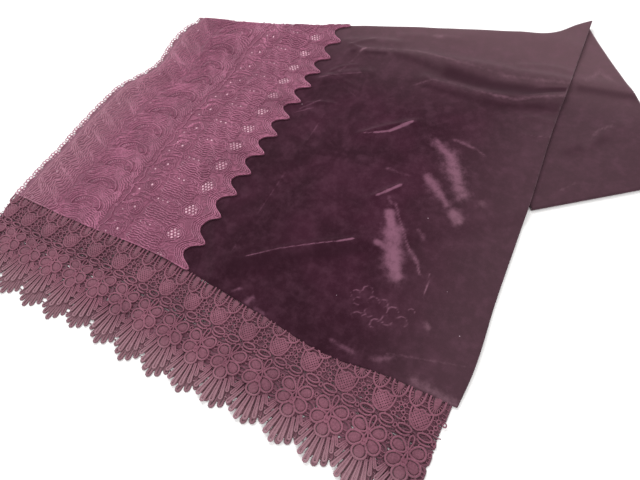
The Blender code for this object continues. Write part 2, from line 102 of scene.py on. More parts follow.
FINE_CREASES = (
    (0.288, 0.404, 0.330, 0.392, 0.002, 0.0012, 0.0030),
    (0.290, 0.400, 0.318, 0.424, 0.002, 0.0012, 0.0030),
    (0.290, 0.340, 0.326, 0.336, 0.002, 0.0010, 0.0030),
    (0.288, 0.350, 0.316, 0.372, 0.003, 0.0010, 0.0030),
    (0.285, 0.284, 0.322, 0.296, 0.003, 0.0010, 0.0030),
    (0.284, 0.276, 0.312, 0.262, 0.002, 0.0008, 0.0030),
    (0.312, 0.060, 0.318, 0.240, 0.004, 0.0006, 0.0030),
    (0.330, 0.110, 0.338, 0.275, -0.003, 0.0005, 0.0030),
    (0.322, 0.046, 0.436, 0.128, 0.006, -0.0014, 0.0040),
    (0.560, 0.336, 0.588, 0.342, 0.001, 0.0009, 0.0035),
    (0.552, 0.362, 0.588, 0.366, 0.002, 0.0011, 0.0040),
    (0.558, 0.386, 0.588, 0.388, -0.001, 0.0010, 0.0035),
    (0.520, 0.447, 0.584, 0.456, 0.004, 0.0012, 0.0050),
    (0.350, 0.446, 0.430, 0.462, 0.003, 0.0009, 0.0050),
    (0.478, 0.232, 0.520, 0.206, 0.004, 0.0007, 0.0040),
    (0.528, 0.090, 0.531, 0.120, 0.000, 0.0008, 0.0025),
    (0.378, 0.264, 0.428, 0.302, 0.002, 0.0010, 0.0022),
    (0.429, 0.180, 0.454, 0.209, 0.001, 0.0009, 0.0022),
)
TURNED_CREASES = (
    (0.589, 0.446, 0.668, 0.452, 0.003, 0.0022, 0.010),
    (0.628, 0.343, 0.655, 0.395, 0.000, 0.0018, 0.009),
)
# Where the nap is crushed, and painted highlights along the crests of creases and folds: start, end, half width,
# strength
CRUSHED_NAP_AND_CREST_LIGHT = (
    (0.4565, 0.1690, 0.4700, 0.1480, 0.0080, 1.00), (0.4700, 0.1480, 0.4860, 0.1140, 0.0140, 1.00),
    (0.4860, 0.1140, 0.4945, 0.1010, 0.0095, 1.00), (0.4590, 0.1290, 0.4690, 0.1290, 0.0050, 0.90),
    (0.4585, 0.1828, 0.4780, 0.1560, 0.0024, 0.70), (0.4780, 0.1560, 0.4990, 0.1320, 0.0026, 0.74),
    (0.4990, 0.1340, 0.5080, 0.1260, 0.0050, 0.75), (0.5080, 0.1260, 0.5165, 0.1135, 0.0024, 0.74),
    (0.4477, 0.1868, 0.4540, 0.1800, 0.0044, 0.50), (0.4950, 0.1620, 0.5030, 0.1560, 0.0040, 0.55),
    (0.4657, 0.2865, 0.4891, 0.2726, 0.0095, 0.74), (0.4891, 0.2726, 0.5060, 0.2474, 0.0130, 0.84),
    (0.5060, 0.2474, 0.5216, 0.2248, 0.0120, 0.80), (0.4763, 0.2323, 0.5000, 0.2150, 0.0090, 0.78),
    (0.5000, 0.2150, 0.5113, 0.2058, 0.0070, 0.76), (0.5230, 0.1970, 0.5300, 0.1900, 0.0105, 0.84),
    (0.4872, 0.2979, 0.5122, 0.2937, 0.0040, 0.66), (0.5122, 0.2937, 0.5290, 0.2870, 0.0024, 0.55),
    (0.5455, 0.2228, 0.5480, 0.2200, 0.0055, 0.52), (0.3765, 0.2620, 0.3900, 0.2700, 0.0008, 0.80),
    (0.3900, 0.2700, 0.4070, 0.2805, 0.0014, 1.10), (0.4070, 0.2805, 0.4283, 0.3030, 0.0021, 1.20),
    (0.4334, 0.1838, 0.4400, 0.1910, 0.0014, 1.00), (0.4400, 0.1910, 0.4538, 0.2081, 0.0019, 1.15),
    (0.5264, 0.1185, 0.5310, 0.0874, 0.0011, 0.95), (0.4275, 0.2256, 0.4554, 0.2260, 0.0034, 0.50),
    (0.4275, 0.2256, 0.4300, 0.2270, 0.0035, 0.60), (0.3314, 0.0501, 0.3624, 0.0755, 0.0013, 0.80),
    (0.3624, 0.0755, 0.3917, 0.0944, 0.0011, 0.85), (0.3917, 0.0944, 0.4182, 0.1106, 0.0011, 0.90),
    (0.4182, 0.1106, 0.4335, 0.1215, 0.0016, 1.10), (0.3380, 0.0090, 0.3440, 0.0150, 0.0035, 0.62),
    (0.3600, 0.0050, 0.3640, 0.0120, 0.0055, 0.62), (0.3720, 0.0020, 0.3850, 0.0010, 0.0040, 0.55),
    (0.5438, 0.0670, 0.5470, 0.0620, 0.0045, 0.66), (0.4640, 0.0080, 0.4900, 0.0060, 0.0050, 0.55),
    (0.5100, 0.0080, 0.5300, 0.0200, 0.0045, 0.52), (0.5550, 0.0060, 0.5980, 0.0040, 0.0090, 0.66),
    (0.5200, 0.0200, 0.5960, 0.0420, 0.0016, 0.50), (0.3000, 0.3540, 0.3137, 0.4045, 0.0044, 0.46),
    (0.2785, 0.3320, 0.3063, 0.3486, 0.0018, 0.56), (0.3063, 0.3486, 0.3348, 0.3633, 0.0014, 0.52),
    (0.2958, 0.3384, 0.3395, 0.3189, 0.0014, 0.50), (0.2793, 0.2722, 0.2981, 0.2951, 0.0018, 0.60),
    (0.2760, 0.2640, 0.2960, 0.2800, 0.0014, 0.55), (0.3110, 0.3960, 0.3150, 0.4040, 0.0030, 0.85),
    (0.3137, 0.4045, 0.3851, 0.4237, 0.0044, 0.46), (0.3851, 0.4237, 0.4573, 0.4230, 0.0044, 0.50),
    (0.4573, 0.4230, 0.5032, 0.4200, 0.0042, 0.45), (0.5032, 0.4200, 0.5443, 0.4258, 0.0044, 0.50),
    (0.5443, 0.4258, 0.5852, 0.4318, 0.0050, 0.56), (0.4037, 0.3650, 0.4256, 0.3811, 0.0034, 0.50),
    (0.4256, 0.3811, 0.4616, 0.3849, 0.0034, 0.46), (0.4616, 0.3849, 0.4993, 0.3803, 0.0036, 0.48),
    (0.4993, 0.3803, 0.5317, 0.3835, 0.0048, 0.56), (0.5317, 0.3835, 0.5684, 0.4032, 0.0050, 0.56),
    (0.5684, 0.4032, 0.5861, 0.4100, 0.0055, 0.60), (0.3950, 0.4600, 0.4050, 0.4620, 0.0060, 0.60),
    (0.3130, 0.0400, 0.3160, 0.2760, 0.0012, 0.46), (0.5600, 0.3360, 0.5880, 0.3420, 0.0014, 0.50),
)
# Crushed nap on the turned half, with painted highlights along its crease crests: start, end, half width, strength
TURNED_NAP_AND_CREST_LIGHT = (
    (0.6018, 0.4531, 0.6151, 0.4733, 0.0045, 0.60), (0.6151, 0.4733, 0.6316, 0.4642, 0.0060, 0.62),
    (0.6281, 0.3461, 0.6353, 0.3770, 0.0032, 0.58), (0.6353, 0.3770, 0.6483, 0.3889, 0.0034, 0.60),
    (0.6186, 0.2754, 0.6308, 0.2911, 0.0026, 0.45), (0.5990, 0.4480, 0.6700, 0.4560, 0.0040, 0.42),
)
# Hollows between two folds, in shade: start, end, half width, strength
SHADED_FOLDS = (
    (0.360, 0.408, 0.440, 0.402, 0.0080, 0.50), (0.440, 0.402, 0.500, 0.398, 0.0140, 0.90),
    (0.500, 0.398, 0.545, 0.405, 0.0130, 1.00), (0.545, 0.405, 0.584, 0.421, 0.0080, 1.00),
    (0.400, 0.370, 0.500, 0.366, 0.0060, 0.50), (0.500, 0.366, 0.584, 0.390, 0.0100, 0.60),
    (0.300, 0.392, 0.345, 0.404, 0.0050, 0.60), (0.320, 0.034, 0.440, 0.112, 0.0100, 0.60),
)
TURNED_SHADE = ((0.600, 0.436, 0.672, 0.446, 0.0090, 0.70), (0.612, 0.330, 0.645, 0.366, 0.0090, 0.50))
# Where a lace petal has pressed an arc into the nap: middle, radius, first angle, last angle
PRESSED_ARCS = (
    (0.4640, 0.0640, 0.0050, 60, 230), (0.4740, 0.0730, 0.0055, 10, 190), (0.4700, 0.0580, 0.0045, 100, 300),
    (0.4850, 0.0640, 0.0060, 20, 200), (0.4950, 0.0670, 0.0045, -30, 120), (0.5080, 0.0620, 0.0060, 30, 210),
    (0.5060, 0.0520, 0.0055, 160, 340), (0.5200, 0.0560, 0.0060, -20, 150), (0.4860, 0.0520, 0.0050, 150, 330),
    (0.4760, 0.0420, 0.0055, 40, 190), (0.4960, 0.0430, 0.0050, 60, 260), (0.5250, 0.0700, 0.0040, 0, 180),
)
# Sideways shift of the lace pattern at its shells, by height up the panel
SHELL_SHIFT = (
    (0.000, 0.0048), (0.036, 0.0048), (0.073, 0.0000), (0.109, -0.0025), (0.145, -0.0060), (0.176, -0.0037),
    (0.209, -0.0014), (0.242, 0.0008), (0.273, 0.0026), (0.303, 0.0024), (0.331, 0.0080), (0.362, 0.0180),
    (0.400, 0.0190),
)

# Repeats of a border, pulled a little out of true: the net disk's place across and its rise,
# then the daisy's place across and its rise
FRONT_REPEATS = (
    (-0.035, 0.0000, -0.037, 0.0020), (0.003, 0.0000, 0.001, 0.0020), (0.037, 0.0000, 0.038, 0.0030),
    (0.074, -0.0005, 0.0745, 0.0033), (0.1135, 0.0009, 0.112, 0.0033), (0.152, 0.0040, 0.151, 0.0050),
    (0.192, 0.0048, 0.187, 0.0073), (0.231, 0.0048, 0.227, 0.0029), (0.266, 0.0026, 0.263, 0.0002),
    (0.303, 0.0008, 0.301, -0.0017), (0.340, 0.0001, 0.3385, -0.0029), (0.379, -0.0006, 0.3755, -0.0017),
    (0.418, 0.0001, 0.4155, 0.0002), (0.4545, 0.0009, 0.4563, -0.0018), (0.495, -0.0007, 0.495, -0.0022),
    (0.535, -0.0003, 0.5348, -0.0036), (0.5735, -0.0010, 0.574, -0.0030), (0.612, -0.0010, 0.612, -0.0030),
)
BACK_REPEATS = (
    (-0.034, -0.0060, -0.034, -0.0080), (0.004, -0.0060, 0.004, -0.0080), (0.042, -0.0060, 0.042, -0.0090),
    (0.080, -0.0060, 0.080, -0.0097), (0.119, -0.0060, 0.118, -0.0097), (0.156, -0.0040, 0.157, -0.0090),
    (0.193, -0.0040, 0.191, -0.0040), (0.231, -0.0040, 0.230, -0.0050), (0.269, -0.0060, 0.2685, -0.0075),
    (0.307, -0.0060, 0.306, -0.0070), (0.346, -0.0055, 0.347, -0.0055), (0.385, -0.0050, 0.386, -0.0023),
    (0.424, -0.0040, 0.424, 0.0000), (0.4635, -0.0040, 0.4635, 0.0000), (0.503, -0.0040, 0.503, -0.0005),
    (0.541, -0.0040, 0.541, -0.0020), (0.579, -0.0040, 0.579, -0.0030), (0.617, -0.0040, 0.617, -0.0030),
)
# A fan's tips lean this far to the left of its root
FAN_LEAN = 0.0018
DISK_LEVEL = 0.030
DAISY_LEVEL = 0.052

# One repeat of the guipure, in millimetres from its daisy's axis and from the seam
MOON = (
    (-7.3, 9), (-7.3, 1), (-7.0, -4.6), (-5.5, -9.2), (-3.0, -12.0), (0, -13.0), (3.0, -12.0), (5.5, -9.2),
    (7.0, -4.6), (7.3, 1), (7.3, 9),
)
SHIELD = (
    (-9.9, -13.2), (-10.3, -18.5), (-8.8, -25.2), (-5.1, -30.0), (0, -31.9), (5.1, -30.0), (8.8, -25.2),
    (10.3, -18.5), (9.9, -13.2), (5, -15.6), (0, -12.8), (-5, -15.6),
)
# What follows is drawn on both sides of the axis
SMALL_RINGS = ((16.3, -16.8), (15.8, -23.2), (13.4, -28.2))
LOOP = (9.7, -34.9, 6.7, 2.9)
SCROLL_TAIL = ((16.8, -39.4), (12.6, -40.6), (7.2, -40.4), (3.4, -38.2))
# Petals, as drops: point, round end, half width
PETALS = ((1.6, -51.2, 16.0, -47.0, 5.7), (1.4, -57.0, 15.4, -65.2, 6.2))
LOW_PETAL = (0.0, -62.0, 0.0, -76.8, 7.0)
# Net that fills the spaces of the border underneath, drawn wide and dark so the gaps read as painted shade: rows below
# the seam, and webs between the fingers
FILLED_ROWS = (
    14.8, 12.1, 9.4, 6.7, 4.0, 1.3, -1.4, -4.1, -6.8, -9.5, -12.1, -14.7, -17.9, -21.1, -24.3, -27.5, -30.7, -33.9, -37.1, -40.3, -44.2, -49.0, -55.0, -61.0, -67.5,
)
WEBS = (
    (2.2, -74, 4.2, -96), (6.4, -74, 11.6, -92), (10.2, -71, 16.4, -85), (12.9, -69, 18.2, -78), (15.0, -68, 19.8, -73),
)
# Fingers of the fan: root, tip, half width at the tip
FINGERS = (
    (0.0, -75.0, 0.0, -104.0, 3.05), (4.4, -75.0, 8.4, -100.0, 3.0), (8.4, -73.2, 15.6, -94.4, 2.6),
    (11.8, -69.8, 17.2, -85.2, 2.2), (13.6, -68.0, 18.9, -77.4, 2.0),
)
# Thin links between the forms: start, end
LINKS = (
    (10.4, -17.4, 14.5, -17.0), (10.0, -22.4, 14.0, -23.0), (8.4, -26.6, 11.5, -28.4), (5.6, -30.4, 7.2, -32.0),
    (16.2, -18.7, 16.0, -21.3), (15.2, -25.0, 14.1, -27.1), (11.8, -30.2, 10.3, -31.8), (18.2, -16.8, 19.1, -16.8),
    (17.7, -23.2, 19.1, -23.5), (15.0, -29.4, 19.1, -30.4), (14.3, -11.8, 15.7, -15.0),
    (17.0, -3.0, 19.1, -3.2), (16.4, -8.0, 19.1, -8.4), (17.5, -11.6, 19.1, -12.4), (0.0, -5.0, 2.4, -5.2),
    (0.0, -9.4, 3.4, -9.8), (16.8, -37.6, 19.1, -38.2), (13.0, -42.4, 13.4, -45.2), (7.2, -41.0, 6.6, -45.6),
    (2.4, -40.0, 4.6, -39.0), (2.0, -44.6, 5.4, -46.0), (17.2, -48.4, 19.1, -47.8), (17.8, -51.4, 19.1, -51.8),
    (16.6, -60.4, 19.1, -60.9), (17.4, -64.0, 19.1, -64.4), (18.0, -71.4, 19.1, -71.6), (18.6, -80.4, 19.1, -80.4),
    (17.8, -89.4, 19.1, -89.4), (4.0, -56.4, 5.0, -57.4), (15.0, -56.0, 15.2, -57.8),
)
# Loose spots on the middle line between two repeats: rings
EDGE_RINGS = ((19.05, -45.4), (19.05, -36.2))


def smooth(share):
    """0 below 0, 1 above 1, and 3 t squared less 2 t cubed between."""
    share = np.clip(share, 0.0, 1.0)
    return share * share * (3 - 2 * share)


def along(table, place):
    """Second column of a table at a place in its first, on a cubic Hermite through the rows."""
    places, values = np.array(table, float).T
    slopes = np.gradient(values, places)
    i = np.clip(np.searchsorted(places, place) - 1, 0, len(places) - 2)
    span = places[i + 1] - places[i]
    t = np.clip((place - places[i]) / span, 0.0, 1.0)
    start = (1 + 2 * t) * (1 - t) ** 2 * values[i] + t * (1 - t) ** 2 * span * slopes[i]
    end = t * t * (3 - 2 * t) * values[i + 1] + t * t * (t - 1) * span * slopes[i + 1]
    return start + end


def fold_corners():
    """Ends of the slanted fold, and those of the middle fold, mirrored in the slanted one."""
    left = np.array([along(LEFT_EDGE, TOP_EDGE[0][1]), TOP_EDGE[0][1]])
    right = np.array([along(RIGHT_EDGE, TOP_EDGE[-1][1]), TOP_EDGE[-1][1]])
    fold = (right - left) / np.linalg.norm(right - left)
    turned = np.array([2 * fold[1] * fold[0], 2 * fold[1] ** 2 - 1])
    far_left = left + (HALF_LENGTH - left[1]) * turned
    far_right = right + (HALF_LENGTH - right[1]) * turned
    return left, right, far_left, far_right


FOLD_LEFT, FOLD_RIGHT, MIDDLE_LEFT, MIDDLE_RIGHT = fold_corners()


def beside(x, y, start, end):
    """Distance of a point to the left of the line from start to end."""
    run = (np.asarray(end) - start) / np.linalg.norm(np.asarray(end) - start)
    return run[0] * (y - start[1]) - run[1] * (x - start[0])


def creases(x, y, table):
    """Sum of ridges, each a bell curve across a bowed line that fades in the same way at its ends."""
    total = np.zeros(np.broadcast(x, y).shape)
    for x0, y0, x1, y1, bow, height, half_width in table:
        run = np.array([x1 - x0, y1 - y0])
        length = np.linalg.norm(run)
        t = ((x - x0) * run[0] + (y - y0) * run[1]) / length ** 2
        inside = np.clip(t, 0, 1)
        aside = beside(x, y, (x0, y0), (x1, y1)) - bow * 4 * inside * (1 - inside)
        beyond = (t - inside) * length
        total = total + height * np.exp(-(aside ** 2 + beyond ** 2) / half_width ** 2)
    return total


def ripple(x, y):
    """Shallow unevenness of cloth that lies loose: a sum of long sine waves."""
    waves = ((61, 23, 0.4, 0.00035), (-37, 49, 2.1, 0.00040), (97, -71, 4.0, 0.00018), (17, 118, 1.3, 0.00016))
    return sum(height * np.sin(a * x + b * y + start) for a, b, start, height in waves)


def cloth_height(x, y):
    """Height of the face that the top layer lies on."""
    inside = np.minimum(beside(x, y, FOLD_LEFT, MIDDLE_LEFT), beside(x, y, MIDDLE_LEFT, MIDDLE_RIGHT))
    lift = TURNED_HALF * smooth(1 + inside / EDGE_RAMP)
    drop = EDGE_DROP * (1 - smooth((x - along(LEFT_EDGE, y)) / EDGE_DROP_REACH))
    from_fold = beside(x, y, FOLD_RIGHT, FOLD_LEFT)
    puff = FOLD_PUFF * np.exp(-((from_fold / FOLD_PUFF_REACH) ** 2))
    fine = creases(x, y, FINE_CREASES) + ripple(x, y)
    return SECOND_LAYER + lift + puff + creases(x, y, CREASES) - drop + fine


def outermost(place):
    """How far the outermost layer stands over the hidden ones: lace, both, or velvet alone."""
    lapped = smooth((place - 0.226) / 0.014) * (GAP + VELVET)
    return GAP + LACE + lapped - (GAP + LACE) * smooth((place - 0.276) / 0.024)


def across(place, y):
    """Place across the panel at a height up it, for a place on the straight seam edge."""
    left, right = along(LEFT_EDGE, y), along(RIGHT_EDGE, y)
    in_band = left + (BAND_WIDTH - left) * place / BAND_WIDTH
    past = BAND_WIDTH + (right - BAND_WIDTH) * (place - BAND_WIDTH) / (RIGHT_EDGE[0][1] - BAND_WIDTH)
    return np.where(place <= BAND_WIDTH, in_band, past)


def sections():
    """Along the seam: each section's place, top, start, fold line and nose radius, as columns."""
    places = np.linspace(-0.02, 0.61, 400)
    low = across(places, 0.0)
    top = along(TOP_EDGE, (low - LEFT_EDGE[0][1]) / (RIGHT_EDGE[0][1] - LEFT_EDGE[0][1]))
    x_top = across(places, top)
    radius = np.full_like(places, 0.006)
    for _ in range(5):
        radius = 0.5 * (cloth_height(x_top, top - radius) + outermost(places))
    return places, x_top, along(SEAM, low), top - radius, radius


SECTIONS = sections()


def lie(place, rise, lift):
    """Points of a layer that stands lift over the hidden ones, and the way that it faces there.

    Place is measured along the seam and rise up the panel. Past the fold line, the rise goes on
    round half a circle, whose radius is half the height of the stack there.
    """
    place, rise, lift = np.broadcast_arrays(place, rise, lift)
    x_top, _, fold_line, radius = (np.interp(place, SECTIONS[0], column) for column in SECTIONS[1:])
    turn = np.clip((rise - fold_line) / radius, 0.0, NOSE_END)
    y = np.minimum(rise, fold_line)
    x = across(place, y)
    x = x + (x_top - across(place, fold_line)) * smooth(turn / 1.5)
    nose = radius - outermost(place) + lift
    flat = turn <= 0
    outward = np.stack([np.zeros_like(turn), np.sin(turn), np.cos(turn)], axis=-1)
    y_all = np.where(flat, y, fold_line + nose * outward[..., 1])
    z_all = np.where(flat, cloth_height(x, y) + lift, radius + nose * outward[..., 2])
    return np.stack([x, y_all, z_all], axis=-1), outward


def seam_height(x):
    """Height up the panel of the seam between the panel and the border, at a place across."""
    return along(SEAM, x)


# Meshes

def new_piece(name, points, faces, uv=None, marks=None):
    """An object from layout points and faces, moved to the middle of the stole's box."""
    mesh = bpy.data.meshes.new(name)
    placed = np.asarray(points, float) - (*CENTRE, 0.0)
    mesh.from_pydata(placed.tolist(), [], faces)
    corners = np.empty(len(mesh.loops), np.int32)
    mesh.loops.foreach_get("vertex_index", corners)
    if uv is not None:
        layer = mesh.uv_layers.new(name="cloth")
        layer.data.foreach_set("uv", np.asarray(uv, np.float32)[corners].ravel())
    for mark, values in (marks or {}).items():
        layer = mesh.attributes.new(mark, "FLOAT", "POINT")
        layer.data.foreach_set("value", np.asarray(values, np.float32))
    mesh.shade_smooth()
    mesh.validate()
    piece = bpy.data.objects.new(name, mesh)
    bpy.context.scene.collection.objects.link(piece)
    return piece


def shell(outer, inner):
    """Points and faces of a closed wall between two grids that run across, then up the panel."""
    rows, columns = outer.shape[:2]
    over = np.arange(rows * columns).reshape(rows, columns)
    under = over + rows * columns
    quads = [
        np.stack([over[:-1, :-1], over[1:, :-1], over[1:, 1:], over[:-1, 1:]], axis=-1).reshape(-1, 4),
        np.stack([under[:-1, :-1], under[:-1, 1:], under[1:, 1:], under[1:, :-1]], axis=-1).reshape(-1, 4),
    ]
    rim = np.concatenate([over[:-1, 0], over[-1, :-1], over[:0:-1, -1], over[0, :0:-1]])
    after = np.roll(rim, -1)
    below = rows * columns
    quads.append(np.stack([rim + below, after + below, after, rim], axis=-1))
    points = np.concatenate([outer.reshape(-1, 3), inner.reshape(-1, 3)])
    return points, np.concatenate(quads).tolist()


def cords(paths, sides=6):
    """Points and faces of rounded cords.

    Each path is a batch of lines: points and outward directions of shape (lines, steps, 3), the
    half width and half height at each step, and whether its lines close. A cross-section is an
    ellipse square to the line, and an open cord ends in a small flat cap.
    """
    angles = 2 * np.pi * np.arange(sides) / sides
    all_points, all_faces, first = [], [], 0
    for points, outward, half_width, half_height, closed in paths:
        lines, steps = points.shape[:2]
        if closed:
            ahead = np.roll(points, -1, axis=1) - np.roll(points, 1, axis=1)
        else:
            ahead = np.gradient(points, axis=1)
        ahead = ahead / np.maximum(np.linalg.norm(ahead, axis=-1, keepdims=True), 1e-9)
        aside = np.cross(outward, ahead)
        aside = aside / np.maximum(np.linalg.norm(aside, axis=-1, keepdims=True), 1e-9)
        above = np.cross(ahead, aside)
        wide = np.broadcast_to(half_width, (steps,))[None, :, None, None]
        high = np.broadcast_to(half_height, (steps,))[None, :, None, None]
        ring = points[:, :, None] + wide * np.cos(angles)[:, None] * aside[:, :, None]
        ring = ring + high * np.sin(angles)[:, None] * above[:, :, None]
        index = first + np.arange(lines * steps * sides).reshape(lines, steps, sides)
        following = np.roll(index, -1, axis=2)
        ends = (index, np.roll(index, -1, axis=1)) if closed else (index[:, :-1], index[:, 1:])
        turns = (following, np.roll(following, -1, axis=1)) if closed else (
            following[:, :-1], following[:, 1:]
        )
        quads = np.stack([ends[0], turns[0], turns[1], ends[1]], axis=-1).reshape(-1, 4)
        all_faces.extend(quads.tolist())
        if not closed:
            all_faces.extend(index[:, 0, ::-1].tolist())
            all_faces.extend(index[:, -1].tolist())
        all_points.append(ring.reshape(-1, 3))
        first += lines * steps * sides
    return np.concatenate(all_points), all_faces


# Lines of the lace patterns

def curve(corners, steps, closed=False):
    """Evenly spaced points on a smooth Catmull-Rom curve through corner points."""
    corners = np.array(corners, float)
    if closed:
        padded = np.concatenate([corners[-1:], corners, corners[:2]])
    else:
        padded = np.concatenate([2 * corners[:1] - corners[1:2], corners, 2 * corners[-1:] - corners[-2:-1]])
    spans = len(padded) - 3
    t = np.linspace(0, spans, 12 * spans + 1)
    i = np.minimum(t.astype(int), spans - 1)
    u = (t - i)[:, None]
    a, b, c, d = (padded[i + k] for k in range(4))
    line = 0.5 * (2 * b + (c - a) * u + (2 * a - 5 * b + 4 * c - d) * u ** 2 + (3 * b - a - 3 * c + d) * u ** 3)
    length = np.concatenate([[0], np.cumsum(np.linalg.norm(np.diff(line, axis=0), axis=1))])
    wanted = np.linspace(0, length[-1], steps, endpoint=not closed)
    return np.stack([np.interp(wanted, length, line[:, k]) for k in range(2)], axis=1)


def oval(middle, half_width, half_height, steps, start=0.0, end=2 * math.pi):
    """Points on an ellipse from one angle to another, or all round it."""
    whole = abs(end - start) > 6.28
    angles = np.linspace(start, end, steps, endpoint=not whole)
    return np.stack([middle[0] + half_width * np.cos(angles), middle[1] + half_height * np.sin(angles)], axis=1)


def teardrop(point, round_end, half_width, steps, sharp=1.4):
    """Closed drop from its point to its round end: half width sin t times a power of sin of t / 2."""
    point, round_end = np.array(point, float), np.array(round_end, float)
    axis = round_end - point
    length = np.linalg.norm(axis)
    axis = axis / length
    side = np.array([-axis[1], axis[0]])
    t = np.linspace(0, 2 * np.pi, steps, endpoint=False)
    far = length * (1 - np.cos(t)) / 2
    aside = np.sin(t) * np.sin(t / 2) ** sharp
    aside = aside * half_width / aside.max()
    return point + far[:, None] * axis + aside[:, None] * side


def tapered(steps, half_width, tip=0.25):
    """Half widths of a stroke that is full in its middle and narrow at its ends."""
    t = np.linspace(-1, 1, steps)
    return half_width * (tip + (1 - tip) * np.sqrt(np.maximum(1 - t ** 2, 0)))


def guipure_filling():
    """Strokes of the net that fills one repeat: rows all across it, and webs between its fingers."""
    strokes = []
    for y in FILLED_ROWS:
        row = ((-20.6, y), (-12, y + 0.5), (-5, y - 0.3), (0, y), (5, y - 0.3), (12, y + 0.5), (20.6, y))
        strokes.append((np.array(row), 0.95, 0.5, 0.0, False))
    for x0, y0, x1, y1 in WEBS:
        for way in (-1, 1):
            web = np.array(((x0, y0), (0.5 * (x0 + x1), 0.5 * (y0 + y1)), (x1, y1))) * (way, 1)
            strokes.append((web, 1.35, 0.35, 0.0, False))
    return strokes


def guipure_motif():
    """Cords, then pads, of one repeat in millimetres from the daisy's axis and the seam.

    Each is a line, its half width, its half height, its lift and whether it closes.
    """
    strokes, pads = [], []

    def stroke(line, wide, high=None, lift=0.0, closed=False):
        strokes.append((np.array(line, float), wide, wide * 0.9 if high is None else high, lift, closed))

    def pad(line, wide, high):
        pads.append((np.array(line, float), wide, high, 0.0, False))

    def petal(point, round_end, half_width, side):
        """A petal's rim, and the low sewn pad inside it."""
        point, axis = np.array(point), np.subtract(round_end, point)
        rim = teardrop(point, round_end, half_width, 24, 0.45)
        stroke(rim * side, 1.15, 1.05, 0.4, closed=True)
        spine = point + np.outer((0.16, 0.28, 0.46, 0.64, 0.80, 0.90), axis)
        pad(spine * side, np.array((0.24, 0.60, 0.82, 0.84, 0.66, 0.30)) * half_width, 0.62)

    for middle in (-9.5, 9.55):
        stroke(curve(MOON, 30) + (middle, 0), 1.10, 1.0, 0.3)
        pad([(middle, 9), (middle, 3), (middle, -2), (middle, -6), (middle, -8.6)], [3.9, 3.9, 3.6, 2.5, 1.0], 0.5)
        for angle in np.radians((-2, 178, *range(199, 350, 20))):
            inner = (middle + 3.6 * math.cos(angle), -2.5 + 5.0 * math.sin(angle))
            outer = (middle + 7.0 * math.cos(angle), -2.5 + 10.0 * math.sin(angle))
            stroke([inner, outer], 0.62)

    stroke(curve(SHIELD, 40, closed=True), 0.95, 0.95, 0.3, closed=True)
    for offset in np.arange(-9.6, 9.7, 2.4):
        half = math.sqrt(9.9 ** 2 - offset ** 2) * 0.97
        for way in (-1, 1):
            net = [(offset * 0.707 - way * t * 0.707, -22.2 + way * offset * 0.707 + t * 0.707) for t in (-half, 0, half)]
            stroke(net, 0.90, 0.62)

    for way in (-1, 1):
        side = np.array([way, 1])
        for x, y in SMALL_RINGS:
            stroke(oval((x, y), 1.8, 1.8, 8) * side, 0.70, 0.75, closed=True)
        for x0, y0, x1, y1 in LINKS:
            stroke(np.array([(x0, y0), (x1, y1)]) * side, 0.55)
        stroke(oval(LOOP[:2], LOOP[2], LOOP[3], 20) * side, 0.95, 1.0, 0.3, closed=True)
        stroke(curve(SCROLL_TAIL, 12) * side, 0.95, 0.9, 0.3)
        for point_x, point_y, end_x, end_y, half_width in PETALS:
            petal((point_x, point_y), (end_x, end_y), half_width, side)
    for x, y in EDGE_RINGS:
        stroke(oval((x, y), 1.7, 1.7, 8), 0.70, 0.75, closed=True)

    stroke(teardrop((0, -50.4), (0, -37.6), 2.3, 22), 0.9, 0.9, 0.3, closed=True)
    petal(LOW_PETAL[:2], LOW_PETAL[2:4], LOW_PETAL[4], (1, 1))
    stroke(teardrop((0, -50.6), (0, -63.6), 2.3, 22), 0.9, 0.9, 1.0, closed=True)
    stroke([(0, -57), (0, -59.5), (0, -62)], tapered(3, 1.3), 0.6, 0.6)

    for root_x, root_y, tip_x, tip_y, half_width in FINGERS:
        for way in ((-1, 1) if root_x else (1,)):
            root, tip = np.array([way * root_x, root_y]), np.array([way * tip_x, tip_y])
            run = (tip - root) / np.linalg.norm(tip - root)
            aside = np.array([-run[1], run[0]])
            cord = np.concatenate([np.linspace(0.62, 1.0, 5), [1.0] * 3, np.linspace(1.0, 0.62, 5)]) * half_width * 0.40
            tip = tip - run * half_width
            t = np.linspace(0, 1, 5)[:, None]
            apart = (0.30 + 0.30 * t) * half_width * aside
            line = root + (tip - root) * t
            bend = [tip + 0.6 * half_width * (math.cos(b) * aside + math.sin(b) * run) for b in np.radians((40, 90, 140))]
            stroke(np.concatenate([line + apart, bend, (line - apart)[::-1]]), cord, cord * 0.85)
            stroke(line, np.linspace(0.3, 0.62, 5) * half_width, 0.35, -0.4)
    return strokes, pads


def hang(repeats, across_repeat, below):
    """Where the points of one repeat lie in each of a border's repeats, pulled out of true as it hangs.

    A point's count of repeats is its row plus its place across over the repeat's width. The
    count is looked up between the rows: in the disks' columns high up, the daisies' low down.
    """
    turns = np.arange(len(repeats))[:, None] + across_repeat / REPEAT
    disk_x, disk_rise, daisy_x, daisy_rise = (
        np.interp(turns, np.arange(len(repeats)), column) for column in np.array(repeats).T
    )
    share = smooth((-below - DISK_LEVEL) / (DAISY_LEVEL - DISK_LEVEL))
    return disk_x + (daisy_x - disk_x) * share, below + disk_rise + (daisy_rise - disk_rise) * share


def border_point(x, y, lift, base, tilt):
    """Points of a border that lies on the table, with a faint wave across it, under the hem at its top."""
    y = np.minimum(y, seam_height(x) + 0.0006)
    wave = 0.00045 * np.sin(x * 31 + tilt) * smooth(-y / 0.03) + 0.0003 * np.sin(x * 83 + y * 40 + tilt)
    return np.stack([x, y, base + wave + lift], axis=-1)


